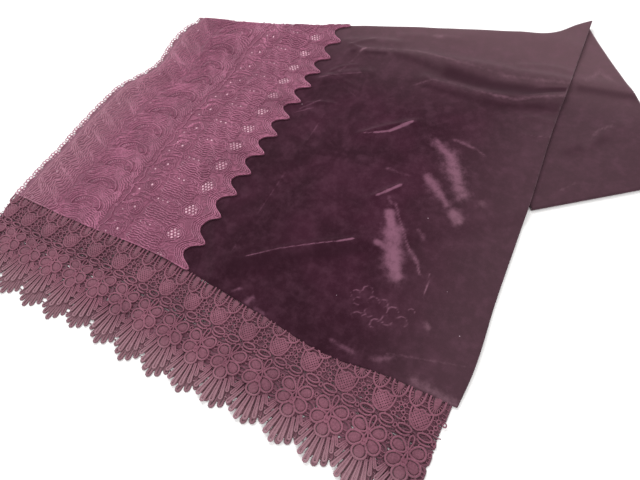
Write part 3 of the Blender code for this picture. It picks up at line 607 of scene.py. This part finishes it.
def guipure(name, motif, repeats, base, sides, widen, start, end):
    """All repeats of the motif between two cut ends, each a little turned, as one mesh."""
    rng = np.random.default_rng(7 if base > 0.001 else 11)
    twist = rng.normal(0, 0.014, (len(repeats), 1))
    batches = []
    for line, wide, high, lift, closed in motif:
        line = line / 1000
        x, y = hang(repeats, line[:, 0], line[:, 1])
        y, x = y - twist * line[:, 0], x + twist * (line[:, 1] + 0.05) - FAN_LEAN * smooth((-line[:, 1] - 0.074) / 0.03)
        middle = x.mean(axis=1)
        seen = (middle > start) & (middle < end) & (y.min(axis=1) < seam_height(middle))
        if not seen.any():
            continue
        x, y = np.clip(x[seen], start - 0.0015, end + 0.0015), y[seen]
        points = border_point(x, y, lift / 1000, base, base * 300)
        outward = np.zeros_like(points)
        outward[..., 2] = 1.0
        batches.append((points, outward, np.asarray(wide) * widen / 1000, np.asarray(high) / 1000, closed))
    points, faces = cords(batches, sides)
    points[:, 2] = np.maximum(points[:, 2], 0.0001)
    return new_piece(name, points, faces)


def at_phase(phase, place):
    """Height up the panel for a count of the band's repeats, with the shells' own shift."""
    rise = np.interp(phase, np.arange(len(SCALLOP_TIPS)), SCALLOP_TIPS)
    return rise + along(SHELL_SHIFT, rise) * smooth((0.165 - place) / 0.030)


def from_tip(phase):
    """0 at a scallop's tip and 1 in the valleys beside it."""
    return np.abs(phase - np.round(phase)) * 2


def scallop_edge(phase):
    """Place of the band's scalloped edge: round noses a repeat apart, with hollow sides."""
    t = from_tip(phase)
    return 0.2572 + 0.0135 * np.exp(-((t / 0.40) ** 2)) + 0.0058 * (1 - t)


def picot_edge(phase):
    """Place of the band's outer edge: two round arches for each repeat, for three picots each."""
    arch = np.sqrt(np.maximum(0.0, 1 - from_tip(2 * phase + 0.5) ** 2))
    return -0.0040 * arch


def band_motif():
    """Strokes of one repeat of the corded lace: line in metres across and in repeats, width, lift."""
    strokes = []

    def stroke(line, wide, lift=0.0, closed=False):
        strokes.append((np.array(line, float), wide / 1000, wide * 0.62 / 1000, lift / 1000, closed))

    v = np.linspace(-0.5, 0.5, 21)
    for inset, wide in ((0.0009, 0.90), (0.0036, 0.80), (0.0062, 0.75), (0.0094, 0.60), (0.0128, 0.60)):
        hollow = inset * (1 + 0.35 * np.exp(-((from_tip(v) / 0.45) ** 2)))
        stroke(np.stack([scallop_edge(v) - hollow, v], axis=1), wide, 0.2)
    for scale in (1.08, 1.38, 1.66):
        stroke(oval((0.2320, -0.11), 0.0092 * scale, 0.205 * scale, 20), 0.60, 0.1, closed=True)
    for height in np.arange(0.10, 0.60, 0.088):
        u = np.linspace(0.177, 0.224, 13)
        stroke(np.stack([u, height + 0.018 * np.sin(u * 330 + height * 9)], axis=1), 0.95, 0.1)
    for scale in (1.0, 0.74, 0.48):
        stroke(oval((0.1965, -0.19), 0.0235 * scale, 0.175 * scale, 22), 0.70, 0.1, closed=True)
    t = np.linspace(-0.16, 0.84, 15)
    stroke(np.stack([0.1365 + 0.0042 * np.sin(np.pi * (t + 0.16)), t], axis=1), 0.70, 0.1)
    stroke(oval((0.1365, -0.16), 0.0021, 0.058, 10), 0.60, 0.3, closed=True)
    for angle in np.radians(np.arange(0, 360, 45)):
        stroke(oval((0.160 + 0.0052 * math.cos(angle), 0.20 + 0.150 * math.sin(angle)), 0.0013, 0.036, 6), 0.50, 0.1, True)
    for scale in (1.0, 1.34):
        stroke(oval((0.160, 0.20), 0.0082 * scale, 0.235 * scale, 18), 0.60, 0.1, closed=True)
    for bow in (0.0, 0.035, -0.035):
        stroke(curve([(0.141, 0.06 + bow), (0.148, 0.16 - bow), (0.1535, 0.38 - bow), (0.163, 0.51 + bow)], 9), 0.60, 0.1)
        stroke(curve([(0.146, -0.40 + bow), (0.153, -0.27), (0.164, -0.18 - bow), (0.1715, -0.22 + bow)], 9), 0.60, 0.1)
        stroke(curve([(0.1445, -0.44 + bow), (0.156, -0.35 + bow), (0.1735, -0.34 - bow)], 8), 0.60, 0.1)

    def shell(scale, first, last, steps, wide, lift):
        """Part of a shell's contour, its right end a little higher than its left one."""
        arc = oval((0.0, 0.0), scale, scale, steps, math.radians(first), math.radians(last))
        across_arc, up = 0.0985 + 0.0212 * arc[:, 0], 0.32 + 0.43 * arc[:, 1] + 0.07 * arc[:, 0]
        stroke(np.stack([across_arc, up], axis=1), wide, lift)

    shell(1.0, -6, 190, 24, 1.0, 0.75)
    shell(0.88, 4, 178, 22, 0.45, 0.35)
    for angle in range(12, 169, 12):
        spoke = np.radians([angle, angle])
        reach = np.array([0.54, 0.84])
        arc = reach[:, None] * np.stack([np.cos(spoke), np.sin(spoke)], axis=1)
        stroke(np.stack([0.0985 + 0.0212 * arc[:, 0], 0.32 + 0.43 * arc[:, 1] + 0.07 * arc[:, 0]], axis=1), 0.90, 0.35)
    shell(0.40, 0, 180, 11, 0.75, 0.15)
    for scale in np.arange(1.25, 2.80, 0.150):
        first = math.degrees(math.acos(min(1.0, 1.66 / scale)))
        last = 180 - math.degrees(math.acos(min(1.0, 1.62 / scale))) if scale < 2.36 else 62
        shell(scale, first, last, 22 if scale < 2.36 else 7, 0.95, 0.0)
    for place in np.arange(0.0125, 0.0600, 0.0035):
        turn = v + (place * 137) % 1
        u = place + 0.0030 * np.sin(2 * np.pi * (turn + place * 7)) + 0.0006 * np.sin(6 * np.pi * turn + place * 300)
        stroke(np.stack([u, turn], axis=1), 0.92, 0.0)
    for middle in (-0.395, -0.25, -0.105, 0.105, 0.25, 0.395):
        edge = float(picot_edge(np.array(middle)))
        stroke(oval((edge - 0.0014, middle), 0.0028, 0.070, 12), 0.95, 0.0, closed=True)
    stroke(np.stack([0.0064 + 0 * v, v], axis=1), 0.80, 0.0)
    stroke(np.stack([0.0092 + 0.0005 * np.sin(10 * np.pi * v), v], axis=1), 0.75, 0.0)
    return strokes


def band_lift(place):
    """Height of the band's underside over the hidden layers: it laps over the velvet's edge."""
    return GAP + (VELVET + GAP) * smooth((place - 0.226) / 0.014)


def uneven(place, rise, phase, share):
    """Pulls a point of the band up to 2 mm out of true, by sums of sine waves, but not at its edges."""
    share = share * smooth((scallop_edge(phase) - place) / 0.030) * smooth((place - 0.004) / 0.016)
    aside = 0.0010 * np.sin(rise * 270 + place * 190) + 0.0007 * np.sin(rise * 640 - place * 430 + 0.9)
    upward = 0.0010 * np.sin(place * 250 + rise * 160) + 0.0008 * np.sin(place * 590 - rise * 410 + 1.7)
    return place + share * aside, rise + share * upward


def band_cords(name):
    """All repeats of the corded lace's cords, laid on the band's face."""
    repeats = np.arange(0, 16)
    batches = []
    for line, wide, high, lift, closed in band_motif():
        place = np.broadcast_to(line[:, 0], (len(repeats), len(line)))
        phase = repeats[:, None] + line[:, 1]
        calm = 0.25 if lift > 0.0003 else 1.0
        place, rise = uneven(place, at_phase(phase, place), phase, calm)
        _, _, start, fold_line, radius = (np.interp(place, SECTIONS[0], column) for column in SECTIONS)
        end = fold_line + NOSE_END * radius
        seen = (rise.max(axis=1) > start.min(axis=1) + 0.001) & (rise.min(axis=1) < end.max(axis=1) - 0.001)
        if not seen.any():
            continue
        rise = np.clip(rise, start + 0.0004, end)[seen]
        face = band_lift(place[seen]) + LACE + 0.0001 + lift
        points, outward = lie(place[seen], rise, face)
        batches.append((points, outward, wide, high, closed))
    points, faces = cords(batches, 4)
    points[:, 2] = np.maximum(points[:, 2], 0.0001)
    return new_piece(name, points, faces)


# Cloth sheets

def hem_round(from_edge, thickness):
    """How much of its thickness a hem has lost at a distance in from its edge: a quarter circle."""
    t = np.clip(1 - from_edge / thickness, 0, 1)
    return thickness * 0.45 * (1 - np.sqrt(1 - t * t * 0.96))


def strongest(x, y, table):
    """Strength of the strongest stroke at a point, which falls off as a bell curve across each one."""
    worst = np.zeros(x.shape)
    for x0, y0, x1, y1, half_width, strength in table:
        run = np.array([x1 - x0, y1 - y0])
        t = np.clip(((x - x0) * run[0] + (y - y0) * run[1]) / (run @ run), 0, 1)
        away = np.hypot(x - x0 - t * run[0], y - y0 - t * run[1])
        worst = np.maximum(worst, strength * np.exp(-((away / half_width) ** 1.8)))
    return worst


def mark_nap_and_light(x, y):
    """How far the nap is crushed, with painted highlights on crease crests and the right hem, from 0 to 1, or how deep
    the painted shade in fold hollows, from 0 to -1.
    """
    worst = strongest(x, y, CRUSHED_NAP_AND_CREST_LIGHT)
    for middle_x, middle_y, radius, first, last in PRESSED_ARCS:
        angle = np.degrees(np.arctan2(y - middle_y, x - middle_x))
        beyond = np.clip((np.abs((angle - (first + last) / 2 + 180) % 360 - 180) - (last - first) / 2) / 25, 0, None)
        away = np.hypot(x - middle_x, y - middle_y) - radius
        worst = np.maximum(worst, 0.74 * np.exp(-((away / 0.0012) ** 2) - beyond ** 2))
    # Painted highlight along the right hem's rolled edge
    hem = along(RIGHT_EDGE, y) - x
    worst = np.maximum(worst, 0.52 * np.exp(-((hem / 0.0016) ** 2)))
    # Painted shade in the hollows between folds, as values below 0
    return worst - strongest(x, y, SHADED_FOLDS) * (1 - smooth(worst / 0.4))


def velvet_panel():
    """The top layer's velvet: a wall over the hidden layers, with its hems rounded."""
    place = np.linspace(VELVET_EDGE, RIGHT_EDGE[0][1], 165)[:, None]
    share = np.linspace(0, 1, 275)[None, :]
    _, _, start, fold_line, radius = (np.interp(place, SECTIONS[0], column) for column in SECTIONS)
    rise = start + (fold_line + NOSE_END * radius - start) * share
    from_edge = np.minimum(rise - start, RIGHT_EDGE[0][1] - place)
    outer, _ = lie(place, rise, GAP + VELVET - hem_round(from_edge, VELVET))
    inner, _ = lie(place, rise, GAP)
    points, faces = shell(outer, inner)
    flat = np.broadcast_to(place, rise.shape)
    uv = np.stack([flat, rise], axis=-1).reshape(-1, 2)
    # Crushed nap, painted highlights and painted shade, for the velvet finish
    marks = np.tile(mark_nap_and_light(outer[..., 0], outer[..., 1]).ravel(), 2)
    return new_piece("velvet_panel_cloth", points, faces, np.tile(uv, (2, 1)), {"nap_and_painted_light": marks})


def hidden_layers():
    """The second layer and the turned half under the panel: a rounded solid with layered edges."""
    place = np.linspace(CORE_INSET, RIGHT_EDGE[0][1] - CORE_INSET, 130)[:, None]
    share = np.linspace(0, 1, 170)[None, :]
    _, _, start, fold_line, radius = (np.interp(place, SECTIONS[0], column) for column in SECTIONS)
    rise = start + CORE_INSET + (fold_line + NOSE_END * radius - start - CORE_INSET) * share
    outer, _ = lie(place, rise, -0.0003)
    under = outer.copy()
    heel = np.broadcast_to(fold_line, rise.shape) - 0.0005
    under[..., 1] = np.minimum(outer[..., 1], heel - 0.0002 * (1 - share))
    under[..., 2] = 0.0
    points, faces = shell(outer, under)
    uv = np.stack([np.broadcast_to(place, rise.shape), rise], axis=-1).reshape(-1, 2)
    return new_piece("hidden_layers_cloth", points, faces, np.tile(uv, (2, 1)), {"nap_and_painted_light": np.zeros(len(points))})


def turned_half():
    """The doubled strip past the right hem: two leaves that join round the middle fold."""
    leaf, radius = (TURNED_HALF - LAYER_SLOT) / 2, TURNED_HALF / 2
    fold_y = np.linspace(0.0, FOLD_RIGHT[1], 800)
    hem_x = along(RIGHT_EDGE, fold_y)
    meets = np.argmin(np.abs(beside(hem_x, fold_y, MIDDLE_LEFT, MIDDLE_RIGHT)))
    meet = np.array([hem_x[meets], fold_y[meets]])
    share = np.linspace(0.03, 1.0, 70)[:, None]
    y = meet[1] + (FOLD_RIGHT[1] - 0.012 - meet[1]) * share
    start = np.stack([along(RIGHT_EDGE, y) - CORE_INSET + GAP, y], axis=-1)
    end = (meet + (MIDDLE_RIGHT - meet) * share)[:, None, :]
    length = np.linalg.norm(end - start, axis=-1, keepdims=True) - radius
    run = (end - start) / np.linalg.norm(end - start, axis=-1, keepdims=True)
    stations = np.concatenate([np.linspace(0, 0.9, 50), np.linspace(0.915, 1.0, 12)])[None, :, None]
    flat = start + run * stations * length
    near = 0.0026 * np.exp(-((np.linalg.norm(flat - FOLD_RIGHT, axis=-1) / 0.06) ** 2))
    ridges = creases(flat[..., 0], flat[..., 1], TURNED_CREASES) + ripple(flat[..., 0], flat[..., 1])
    ends = np.minimum(1, (1 - stations[..., 0]) * 6)
    hem = hem_round((1 - share) * np.linalg.norm(MIDDLE_RIGHT - meet), 0.0016)
    top = TURNED_HALF + (near + ridges) * ends - hem
    arc = np.radians(np.linspace(90, -90, 15))[None, 1:-1, None]
    bend = start + run * length

    def profile(half, upper, lower):
        nose = bend + run * half * np.cos(arc)
        level = np.broadcast_to(radius + half * np.sin(arc[..., 0]), nose.shape[:2])
        flat_way = np.concatenate([flat, nose, flat[:, ::-1]], axis=1)
        levels = np.concatenate([upper, level, lower[:, ::-1]], axis=1)
        return np.concatenate([flat_way, levels[..., None]], axis=-1)

    outer = profile(radius, top, np.zeros_like(top))
    inner = profile(LAYER_SLOT / 2, top - leaf, np.full_like(top, leaf))
    points, faces = shell(outer[::-1], inner[::-1])
    uv = np.stack([points[:, 0], points[:, 1]], axis=1)
    # Crushed nap and painted highlights along crests, less painted shade in the hollows
    marks = strongest(points[:, 0], points[:, 1], TURNED_NAP_AND_CREST_LIGHT)
    marks = marks - 0.8 * strongest(points[:, 0], points[:, 1], TURNED_SHADE)
    return new_piece("velvet_turned_cloth", points, faces, uv, {"nap_and_painted_light": marks})


def lace_band():
    """The band's ground, from its picot edge to its scalloped edge, with soft shells and leaves."""
    phase = np.linspace(0.4, 15.4, 260)[None, :]
    share = np.linspace(0, 1, 110)[:, None]
    left, right = picot_edge(phase), scallop_edge(phase)
    place = left + (right - left) * share
    _, _, start, fold_line, radius = (np.interp(place, SECTIONS[0], column) for column in SECTIONS)
    rise = np.clip(at_phase(phase, place), start, fold_line + NOSE_END * radius)
    edge = hem_round(np.minimum(place - left, right - place), LACE)
    swell = 0.0005 * np.exp(-(((place - 0.100) / 0.018) ** 2)) * (0.5 - 0.5 * np.cos(2 * np.pi * (phase - 0.1)))
    swell = swell + 0.0004 * np.exp(-(((place - 0.196) / 0.016) ** 2)) * (0.5 + 0.5 * np.cos(2 * np.pi * (phase + 0.26)))
    outer, _ = lie(place, rise, band_lift(place) + LACE * 0.8 + swell - edge)
    inner, _ = lie(place, rise, band_lift(place))
    points, faces = shell(outer, inner)
    points[:, 2] = np.maximum(points[:, 2], 0.0001)
    uv = np.stack([place, np.broadcast_to(phase, place.shape)], axis=-1).reshape(-1, 2)
    return new_piece("lace_band_cloth", points, faces, np.tile(uv, (2, 1)))


def lace_band_back():
    """The back half's picot edge, with its own small picots, past the front band's edge."""
    rows = np.linspace(BACK_BAND_SHOWS[0][0], BACK_BAND_SHOWS[-1][0], 150)[None, :]
    phase = np.interp(rows, SCALLOP_TIPS, np.arange(len(SCALLOP_TIPS)))
    tucked = along(LEFT_EDGE, rows) + 0.0010
    edge = tucked - along(BACK_BAND_SHOWS, rows) - 0.003 * from_tip(phase) ** 0.7
    edge = edge - 0.0010 * np.abs(np.sin(5 * np.pi * phase + 0.8))
    share = np.linspace(0, 1, 7)[:, None]
    x = edge + (tucked - edge) * share
    y = np.broadcast_to(rows, x.shape)
    top = LACE - hem_round(x - edge, LACE)
    outer = np.stack([x, y, top], axis=-1)
    inner = np.stack([x, y, np.full_like(x, 0.0001)], axis=-1)
    points, faces = shell(outer, inner)
    return new_piece("lace_band_back_cloth", points, faces, points[:, :2])


# Finishes

class Socket:
    """A value in a finish. Arithmetic on it adds Math nodes."""

    def __init__(self, finish, socket):
        self.finish, self.socket = finish, socket

    def maths(self, operation, *others):
        """A Math node of that operation on this value and the others."""
        values = dict(enumerate((self, *others)))
        return self.finish.node("ShaderNodeMath", {"operation": operation}, values)

    def __add__(self, other):
        return self.maths("ADD", other)

    def __radd__(self, other):
        return self.maths("ADD", other)

    def __mul__(self, other):
        return self.maths("MULTIPLY", other)

    def __rmul__(self, other):
        return self.maths("MULTIPLY", other)

    def __sub__(self, other):
        return self.maths("SUBTRACT", other)

    def __rsub__(self, other):
        return self.maths("MULTIPLY", -1.0).maths("ADD", other)

    def __truediv__(self, other):
        return self.maths("DIVIDE", other)

    def ramp(self, low, high, start=0.0, end=1.0):
        """A smooth step of this value from start at low to end at high."""
        values = {"Value": self, "From Min": low, "From Max": high, "To Min": start, "To Max": end}
        return self.finish.node("ShaderNodeMapRange", {"interpolation_type": "SMOOTHSTEP"}, values)


class Finish:
    """A material in the making, with its Principled shader."""

    def __init__(self, name, roughness, **constants):
        self.material = bpy.data.materials.new(name)
        self.material.use_nodes = True
        self.tree = self.material.node_tree
        self.shader = self.tree.nodes["Principled BSDF"]
        self.shader.inputs["Roughness"].default_value = roughness
        for socket, value in constants.items():
            self.shader.inputs[socket.replace("_", " ")].default_value = value

    def node(self, kind, settings=(), values=(), out=0):
        """Adds a node: its settings first, then the values or links of its sockets."""
        made = self.tree.nodes.new(kind)
        for setting, value in dict(settings).items():
            setattr(made, setting, value)
        for socket, value in dict(values).items():
            if isinstance(value, Socket):
                self.tree.links.new(value.socket, made.inputs[socket])
            else:
                made.inputs[socket].default_value = value
        return Socket(self, made.outputs[out])

    def mix(self, share, first, second):
        """A colour between two, by a share."""
        settings = {"data_type": "RGBA", "clamp_factor": True}
        return self.node("ShaderNodeMix", settings, {"Factor": share, 6: first, 7: second}, out=2)

    def noise(self, where, scale, detail=3.0, roughness=0.55):
        """A cloudy value about 0.5 at that many waves a metre."""
        values = {"Vector": where, "Scale": scale, "Detail": detail, "Roughness": roughness}
        return self.node("ShaderNodeTexNoise", (), values)

    def paint(self, colour, height=None, strength=0.3, distance=0.001):
        """Joins the colour, and a bump from the height, to the shader."""
        self.tree.links.new(colour.socket, self.shader.inputs["Base Color"])
        if height is not None:
            values = {"Height": height, "Strength": strength, "Distance": distance}
            bump = self.node("ShaderNodeBump", (), values)
            self.tree.links.new(bump.socket, self.shader.inputs["Normal"])


def velvet_finish(name, dark, light, sheen_grey, far, pale):
    """Plum velvet: a cloudy nap, greyer to the right and the top as painted sheen, darker low down and in fold hollows
    as painted shade, and paler where it is crushed and where highlights are painted along crests.
    """
    finish = Finish(name, 0.92, Sheen_Weight=0.55, Sheen_Roughness=0.35, Sheen_Tint=(0.80, 0.62, 0.68, 1))
    finish.shader.inputs["Specular IOR Level"].default_value = 0.12
    place = finish.node("ShaderNodeTexCoord", (), (), out=3)
    split = finish.node("ShaderNodeSeparateXYZ", (), {"Vector": place})
    rightward, upward = split, Socket(finish, split.socket.node.outputs[1])
    cloud = finish.noise(place, 16.0, 4.0)
    patchy = finish.noise(place, 70.0, 3.0, 0.6)
    pile = finish.noise(place, 900.0, 2.0)
    streak = finish.noise(place, 160.0, 3.0, 0.7)
    nap_and_light = finish.node("ShaderNodeAttribute", {"attribute_name": "nap_and_painted_light"}, (), out=2)
    ground = finish.mix(cloud.ramp(0.3, 0.7), dark, light)
    # Painted sheen: greyer towards the right and the top, and paler still at the far top
    greying = rightward.ramp(0.08, 0.25).maths("MAXIMUM", upward.ramp(0.08, 0.22))
    ground = finish.mix(greying * 0.85, ground, sheen_grey)
    ground = finish.mix(upward.ramp(0.16, 0.27) * 0.9, ground, far)
    # Painted shade low down on the panel, left of the right hem
    shaded = upward.ramp(-0.12, -0.21) * rightward.ramp(0.20, 0.08)
    ground = finish.mix(shaded * 0.6, ground, dark)
    ground = finish.mix(patchy.ramp(0.40, 0.75) * 0.10 + streak.ramp(0.42, 0.70) * 0.05, ground, pale)
    # Painted shade in fold hollows, from the negative marks
    ground = finish.mix(nap_and_light.ramp(0.0, -0.9) * 0.8, ground, dark)
    # Paler where the nap is crushed and where highlights are painted along crests and the hem
    broken = (nap_and_light + (streak - 0.5) * 0.60 + (patchy - 0.5) * 0.65).ramp(0.18, 0.84)
    paling = broken * nap_and_light.ramp(0.3, 1.0, 0.34, 1.0) * streak.ramp(0.30, 0.60, 0.72, 1.0)
    colour = finish.mix(paling, ground, finish.mix(greying * 0.8, pale, (0.165, 0.095, 0.114, 1)))
    lint = finish.node("ShaderNodeTexVoronoi", {"feature": "F1"}, {"Vector": place, "Scale": 30.0})
    colour = finish.mix(lint.ramp(0.020, 0.010) * 0.7, colour, (0.55, 0.42, 0.48, 1))
    finish.paint(colour, pile * 0.5 + streak * 0.5, 0.25, 0.0006)
    return finish.material


def cord_finish(name, dark, light, paling, axis, whole, greying, lines):
    """Matte cord: a cloudy mauve with fine thread ridges, that turns to a paler, greyer tone along one axis."""
    finish = Finish(name, 0.68, Sheen_Weight=0.15, Sheen_Roughness=0.5)
    finish.shader.inputs["Specular IOR Level"].default_value = 0.3
    place = finish.node("ShaderNodeTexCoord", (), (), out=3)
    cloud = finish.noise(place, 22.0, 3.0)
    thread = finish.noise(place, 520.0, 3.0, 0.75)
    split = finish.node("ShaderNodeSeparateXYZ", (), {"Vector": place}, out=axis)
    swirl = finish.noise(place, 34.0, 1.0, 0.4)
    meander = (swirl * 74.0).maths("SINE").ramp(-0.35, -0.95) * lines
    tone = cloud.ramp(0.3, 0.7) * 0.45 + thread.ramp(0.36, 0.64) * 0.55
    colour = finish.mix(split.ramp(whole, greying), finish.mix(tone, dark, light), paling)
    finish.paint(finish.mix(meander, colour, dark), thread - meander, 0.6, 0.0006)
    return finish.material


def lace_finish(name, dark, light, paling, pale):
    """The band's ground: a mauve net between the cords, darker than them partly as painted shade in the grooves, with
    pale holes and honeycomb eyes.
    """
    finish = Finish(name, 0.75, Sheen_Weight=0.12)
    finish.shader.inputs["Specular IOR Level"].default_value = 0.25
    uv = finish.node("ShaderNodeUVMap", {"uv_map": "cloth"})
    split = finish.node("ShaderNodeSeparateXYZ", (), {"Vector": uv})
    across_band, repeats = split, Socket(finish, split.socket.node.outputs[1])

    def spot(place, phase, half_width, half_height):
        """1 inside an ellipse in every repeat, and 0 outside it."""
        u = (across_band - place) / half_width
        v = ((repeats - (phase - 0.5)).maths("FRACT") - 0.5) / half_height
        return (u * u + v * v).ramp(1.15, 0.75)

    pale_parts = spot(0.067, -0.36, 0.0017, 0.045)
    for place, phase, wide, high in (
        (0.1365, -0.16, 0.0014, 0.040), (0.0240, 0.12, 0.0015, 0.045), (0.0190, -0.22, 0.0011, 0.030),
        (0.181, -0.19, 0.0013, 0.030), (0.1885, -0.20, 0.0013, 0.035), (0.196, -0.18, 0.0013, 0.030),
        (0.160, 0.20, 0.0014, 0.045), (-0.0012, -0.42, 0.0020, 0.040), (-0.0022, -0.26, 0.0022, 0.045),
        (-0.0012, -0.12, 0.0020, 0.040),
        (0.150, 0.36, 0.0012, 0.030), (0.1480, -0.13, 0.0012, 0.030), (0.0890, 0.70, 0.0010, 0.020),
    ):
        pale_parts = pale_parts.maths("MAXIMUM", spot(place, phase, wide, high))

    def cells(shift):
        """One of the eye's two staggered lattices of round cells."""
        u = (((across_band - 0.2320) / 0.0054 + shift).maths("FRACT") - 0.5) * 3.5
        v = (((repeats + 0.11) / 0.205 + shift).maths("FRACT") - 0.5) * 4.8
        return (u * u + v * v).ramp(1.25, 0.45)

    eye = spot(0.2320, -0.11, 0.0098, 0.225)
    pale_parts = pale_parts.maths("MAXIMUM", eye * cells(0.5).maths("MAXIMUM", cells(0.0)))
    place = finish.node("ShaderNodeTexCoord", (), (), out=3)
    cloud = finish.noise(place, 20.0, 3.0)
    net = finish.noise(place, 700.0, 2.0, 0.7)
    swirl = finish.noise(place, 42.0, 1.0, 0.4)
    contours = (swirl * 120.0 + across_band * 700.0).maths("SINE") * 0.5 + 0.5
    ground = finish.mix(contours * 0.5 + net.ramp(0.35, 0.65) * 0.3 + cloud.ramp(0.3, 0.7) * 0.2, dark, light)
    uneven = finish.noise(place, 260.0, 2.0, 0.6)
    lit = pale_parts * cloud.ramp(0.30, 0.55, 0.40, 1.0) * uneven.ramp(0.30, 0.55, 0.25, 1.0)
    # Paler towards the picot edge
    ground = finish.mix(across_band.ramp(0.075, 0.010) * 0.35, ground, paling)
    colour = finish.mix(lit, ground, pale)
    finish.paint(colour, contours + net * 0.6 - pale_parts, 0.7, 0.0008)
    return finish.material


def table_finish():
    """A plain, nearly white tabletop."""
    finish = Finish("table_white", 0.85)
    place = finish.node("ShaderNodeTexCoord", (), (), out=3)
    finish.paint(finish.mix(finish.noise(place, 6.0), (0.90, 0.90, 0.90, 1), (0.94, 0.94, 0.94, 1)))
    return finish.material


velvet = velvet_finish(
    "plum_velvet", (0.021, 0.0040, 0.0100, 1), (0.036, 0.0072, 0.0180, 1), (0.060, 0.0290, 0.0385, 1),
    (0.108, 0.0580, 0.0700, 1), (0.190, 0.078, 0.124, 1),
)
# A darker copy of the velvet for the hidden layers, its painted sheen turned down, as painted shade under the panel
velvet_in_shade = velvet_finish(
    "plum_velvet_in_shade", (0.022, 0.0050, 0.0115, 1), (0.030, 0.0080, 0.0170, 1), (0.045, 0.0200, 0.0280, 1),
    (0.055, 0.0250, 0.0340, 1), (0.100, 0.045, 0.068, 1),
)
band_ground = lace_finish("lace_ground", (0.105, 0.023, 0.050, 1), (0.270, 0.080, 0.142, 1),
                          (0.230, 0.115, 0.150, 1), (0.72, 0.43, 0.52, 1))
band_cord = cord_finish("lace_cord", (0.170, 0.039, 0.082, 1), (0.475, 0.155, 0.266, 1),
                        (0.420, 0.190, 0.255, 1), 0, -0.28, -0.38, 0.40)
guipure_cord = cord_finish("guipure_cord", (0.128, 0.036, 0.061, 1), (0.262, 0.089, 0.134, 1),
                           (0.290, 0.150, 0.182, 1), 1, -0.288, -0.325, 0.15)
# A darker copy of the cord for the pads, as painted shade in their hollow inside the rims
guipure_pad_in_shade = cord_finish("guipure_pad_in_shade", (0.104, 0.030, 0.050, 1), (0.205, 0.069, 0.104, 1),
                          (0.240, 0.115, 0.145, 1), 1, -0.288, -0.325, 0.0)
# A darker copy of the cord for the back layer, as painted shade under the front one
shaded_guipure_cord = cord_finish("guipure_cord_in_shade", (0.088, 0.025, 0.044, 1), (0.175, 0.057, 0.090, 1),
                            (0.225, 0.105, 0.132, 1), 1, -0.300, -0.330, 0.15)



def finished(piece, material, nodes=()):
    """Gives a piece its finish, the CAD body that it goes with and the solids it stands for."""
    piece.data.materials.append(material)
    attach(piece, "root")
    if nodes:
        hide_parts(*nodes)
    return piece


panel = finished(velvet_panel(), velvet, ["velvet_panel"])
inside = finished(hidden_layers(), velvet_in_shade, ["hidden_layers"])
turned = finished(turned_half(), velvet, ["velvet_turned_half"])
band = finished(lace_band(), band_ground, ["lace_band"])
band_lines = finished(band_cords("lace_band_cords"), band_cord)
band_back = finished(lace_band_back(), band_ground, ["lace_band_back"])
border_cords, border_pads = guipure_motif()
front = finished(
    guipure("guipure_front_cords", border_cords, FRONT_REPEATS, 0.0029, 6, 1.0, BORDER_START, BORDER_END),
    guipure_cord, ["guipure_front"],
)
front_pads = finished(
    guipure("guipure_front_pads", border_pads, FRONT_REPEATS, 0.0029, 8, 1.0, BORDER_START, BORDER_END),
    guipure_pad_in_shade,
)
BACK_ENDS = (BORDER_START + 0.003, BORDER_END - 0.003)
back = finished(
    guipure("guipure_back_cords", border_cords + border_pads, BACK_REPEATS, 0.0010, 4, 1.45, *BACK_ENDS),
    shaded_guipure_cord, ["guipure_back"],
)
# The back net, in the shaded cord, as painted shade in the border's gaps
filling = finished(
    guipure("guipure_back_filling", guipure_filling(), BACK_REPEATS, 0.0010, 4, 1.50, *BACK_ENDS),
    shaded_guipure_cord,
)

# Table, light and camera

def table():
    """A flat square, wide enough to fill the view."""
    mesh = bpy.data.meshes.new("table")
    side = 4.0
    mesh.from_pydata([(-side, -side, 0), (side, -side, 0), (side, side, 0), (-side, side, 0)], [], [(0, 1, 2, 3)])
    piece = bpy.data.objects.new("table", mesh)
    piece.location = (0, 0, -0.0002)
    bpy.context.scene.collection.objects.link(piece)
    mesh.materials.append(table_finish())


def light(name, place, target, size, power):
    """A square soft light that points from a place to a target."""
    lamp = bpy.data.lights.new(name, "AREA")
    lamp.size, lamp.energy = size, power
    made = bpy.data.objects.new(name, lamp)
    away = np.array(place, float) - target
    away = away / np.linalg.norm(away)
    aside = np.cross((0, 1, 0.01), away)
    aside = aside / np.linalg.norm(aside)
    turned_to = np.stack([aside, np.cross(away, aside), away], axis=1)
    made.matrix_world = Matrix.Translation(place) @ Matrix(turned_to.tolist()).to_4x4()
    bpy.context.scene.collection.objects.link(made)


def camera():
    """The photograph's camera: above the lower right corner, looking down across the stole."""
    pitch, roll = math.radians(60.54), 0.2492
    ahead_flat = np.array([-0.649, 0.760, 0.0])
    ahead = ahead_flat * math.cos(pitch) + np.array([0, 0, -math.sin(pitch)])
    right = np.array([0.760, 0.649, 0.0])
    down = np.cross(ahead, right)
    image_right = math.cos(roll) * right + math.sin(roll) * down
    image_down = -math.sin(roll) * right + math.cos(roll) * down
    axes = np.stack([image_right, -image_down, -ahead], axis=1)
    lens = bpy.data.cameras.new("camera")
    lens.lens, lens.sensor_width = 27.0, 36.0
    made = bpy.data.objects.new("camera", lens)
    place = (0.5741 - CENTRE[0], -0.0999 - CENTRE[1], 0.4791 + 0.006)
    made.matrix_world = Matrix.Translation(place) @ Matrix(axes.tolist()).to_4x4()
    bpy.context.scene.collection.objects.link(made)
    bpy.context.scene.camera = made


table()
camera()
light("key", (-0.9, 0.9, 1.5), (0, 0, 0), 1.2, 26.0)
light("fill", (0.9, -0.5, 1.6), (0, 0, 0), 1.6, 12.0)
world = bpy.data.worlds.new("studio")
bpy.context.scene.world = world
world.use_nodes = True
world.node_tree.nodes["Background"].inputs["Color"].default_value = (1.0, 0.99, 0.98, 1)
world.node_tree.nodes["Background"].inputs["Strength"].default_value = 0.75
bpy.context.scene.view_settings.view_transform = "Standard"
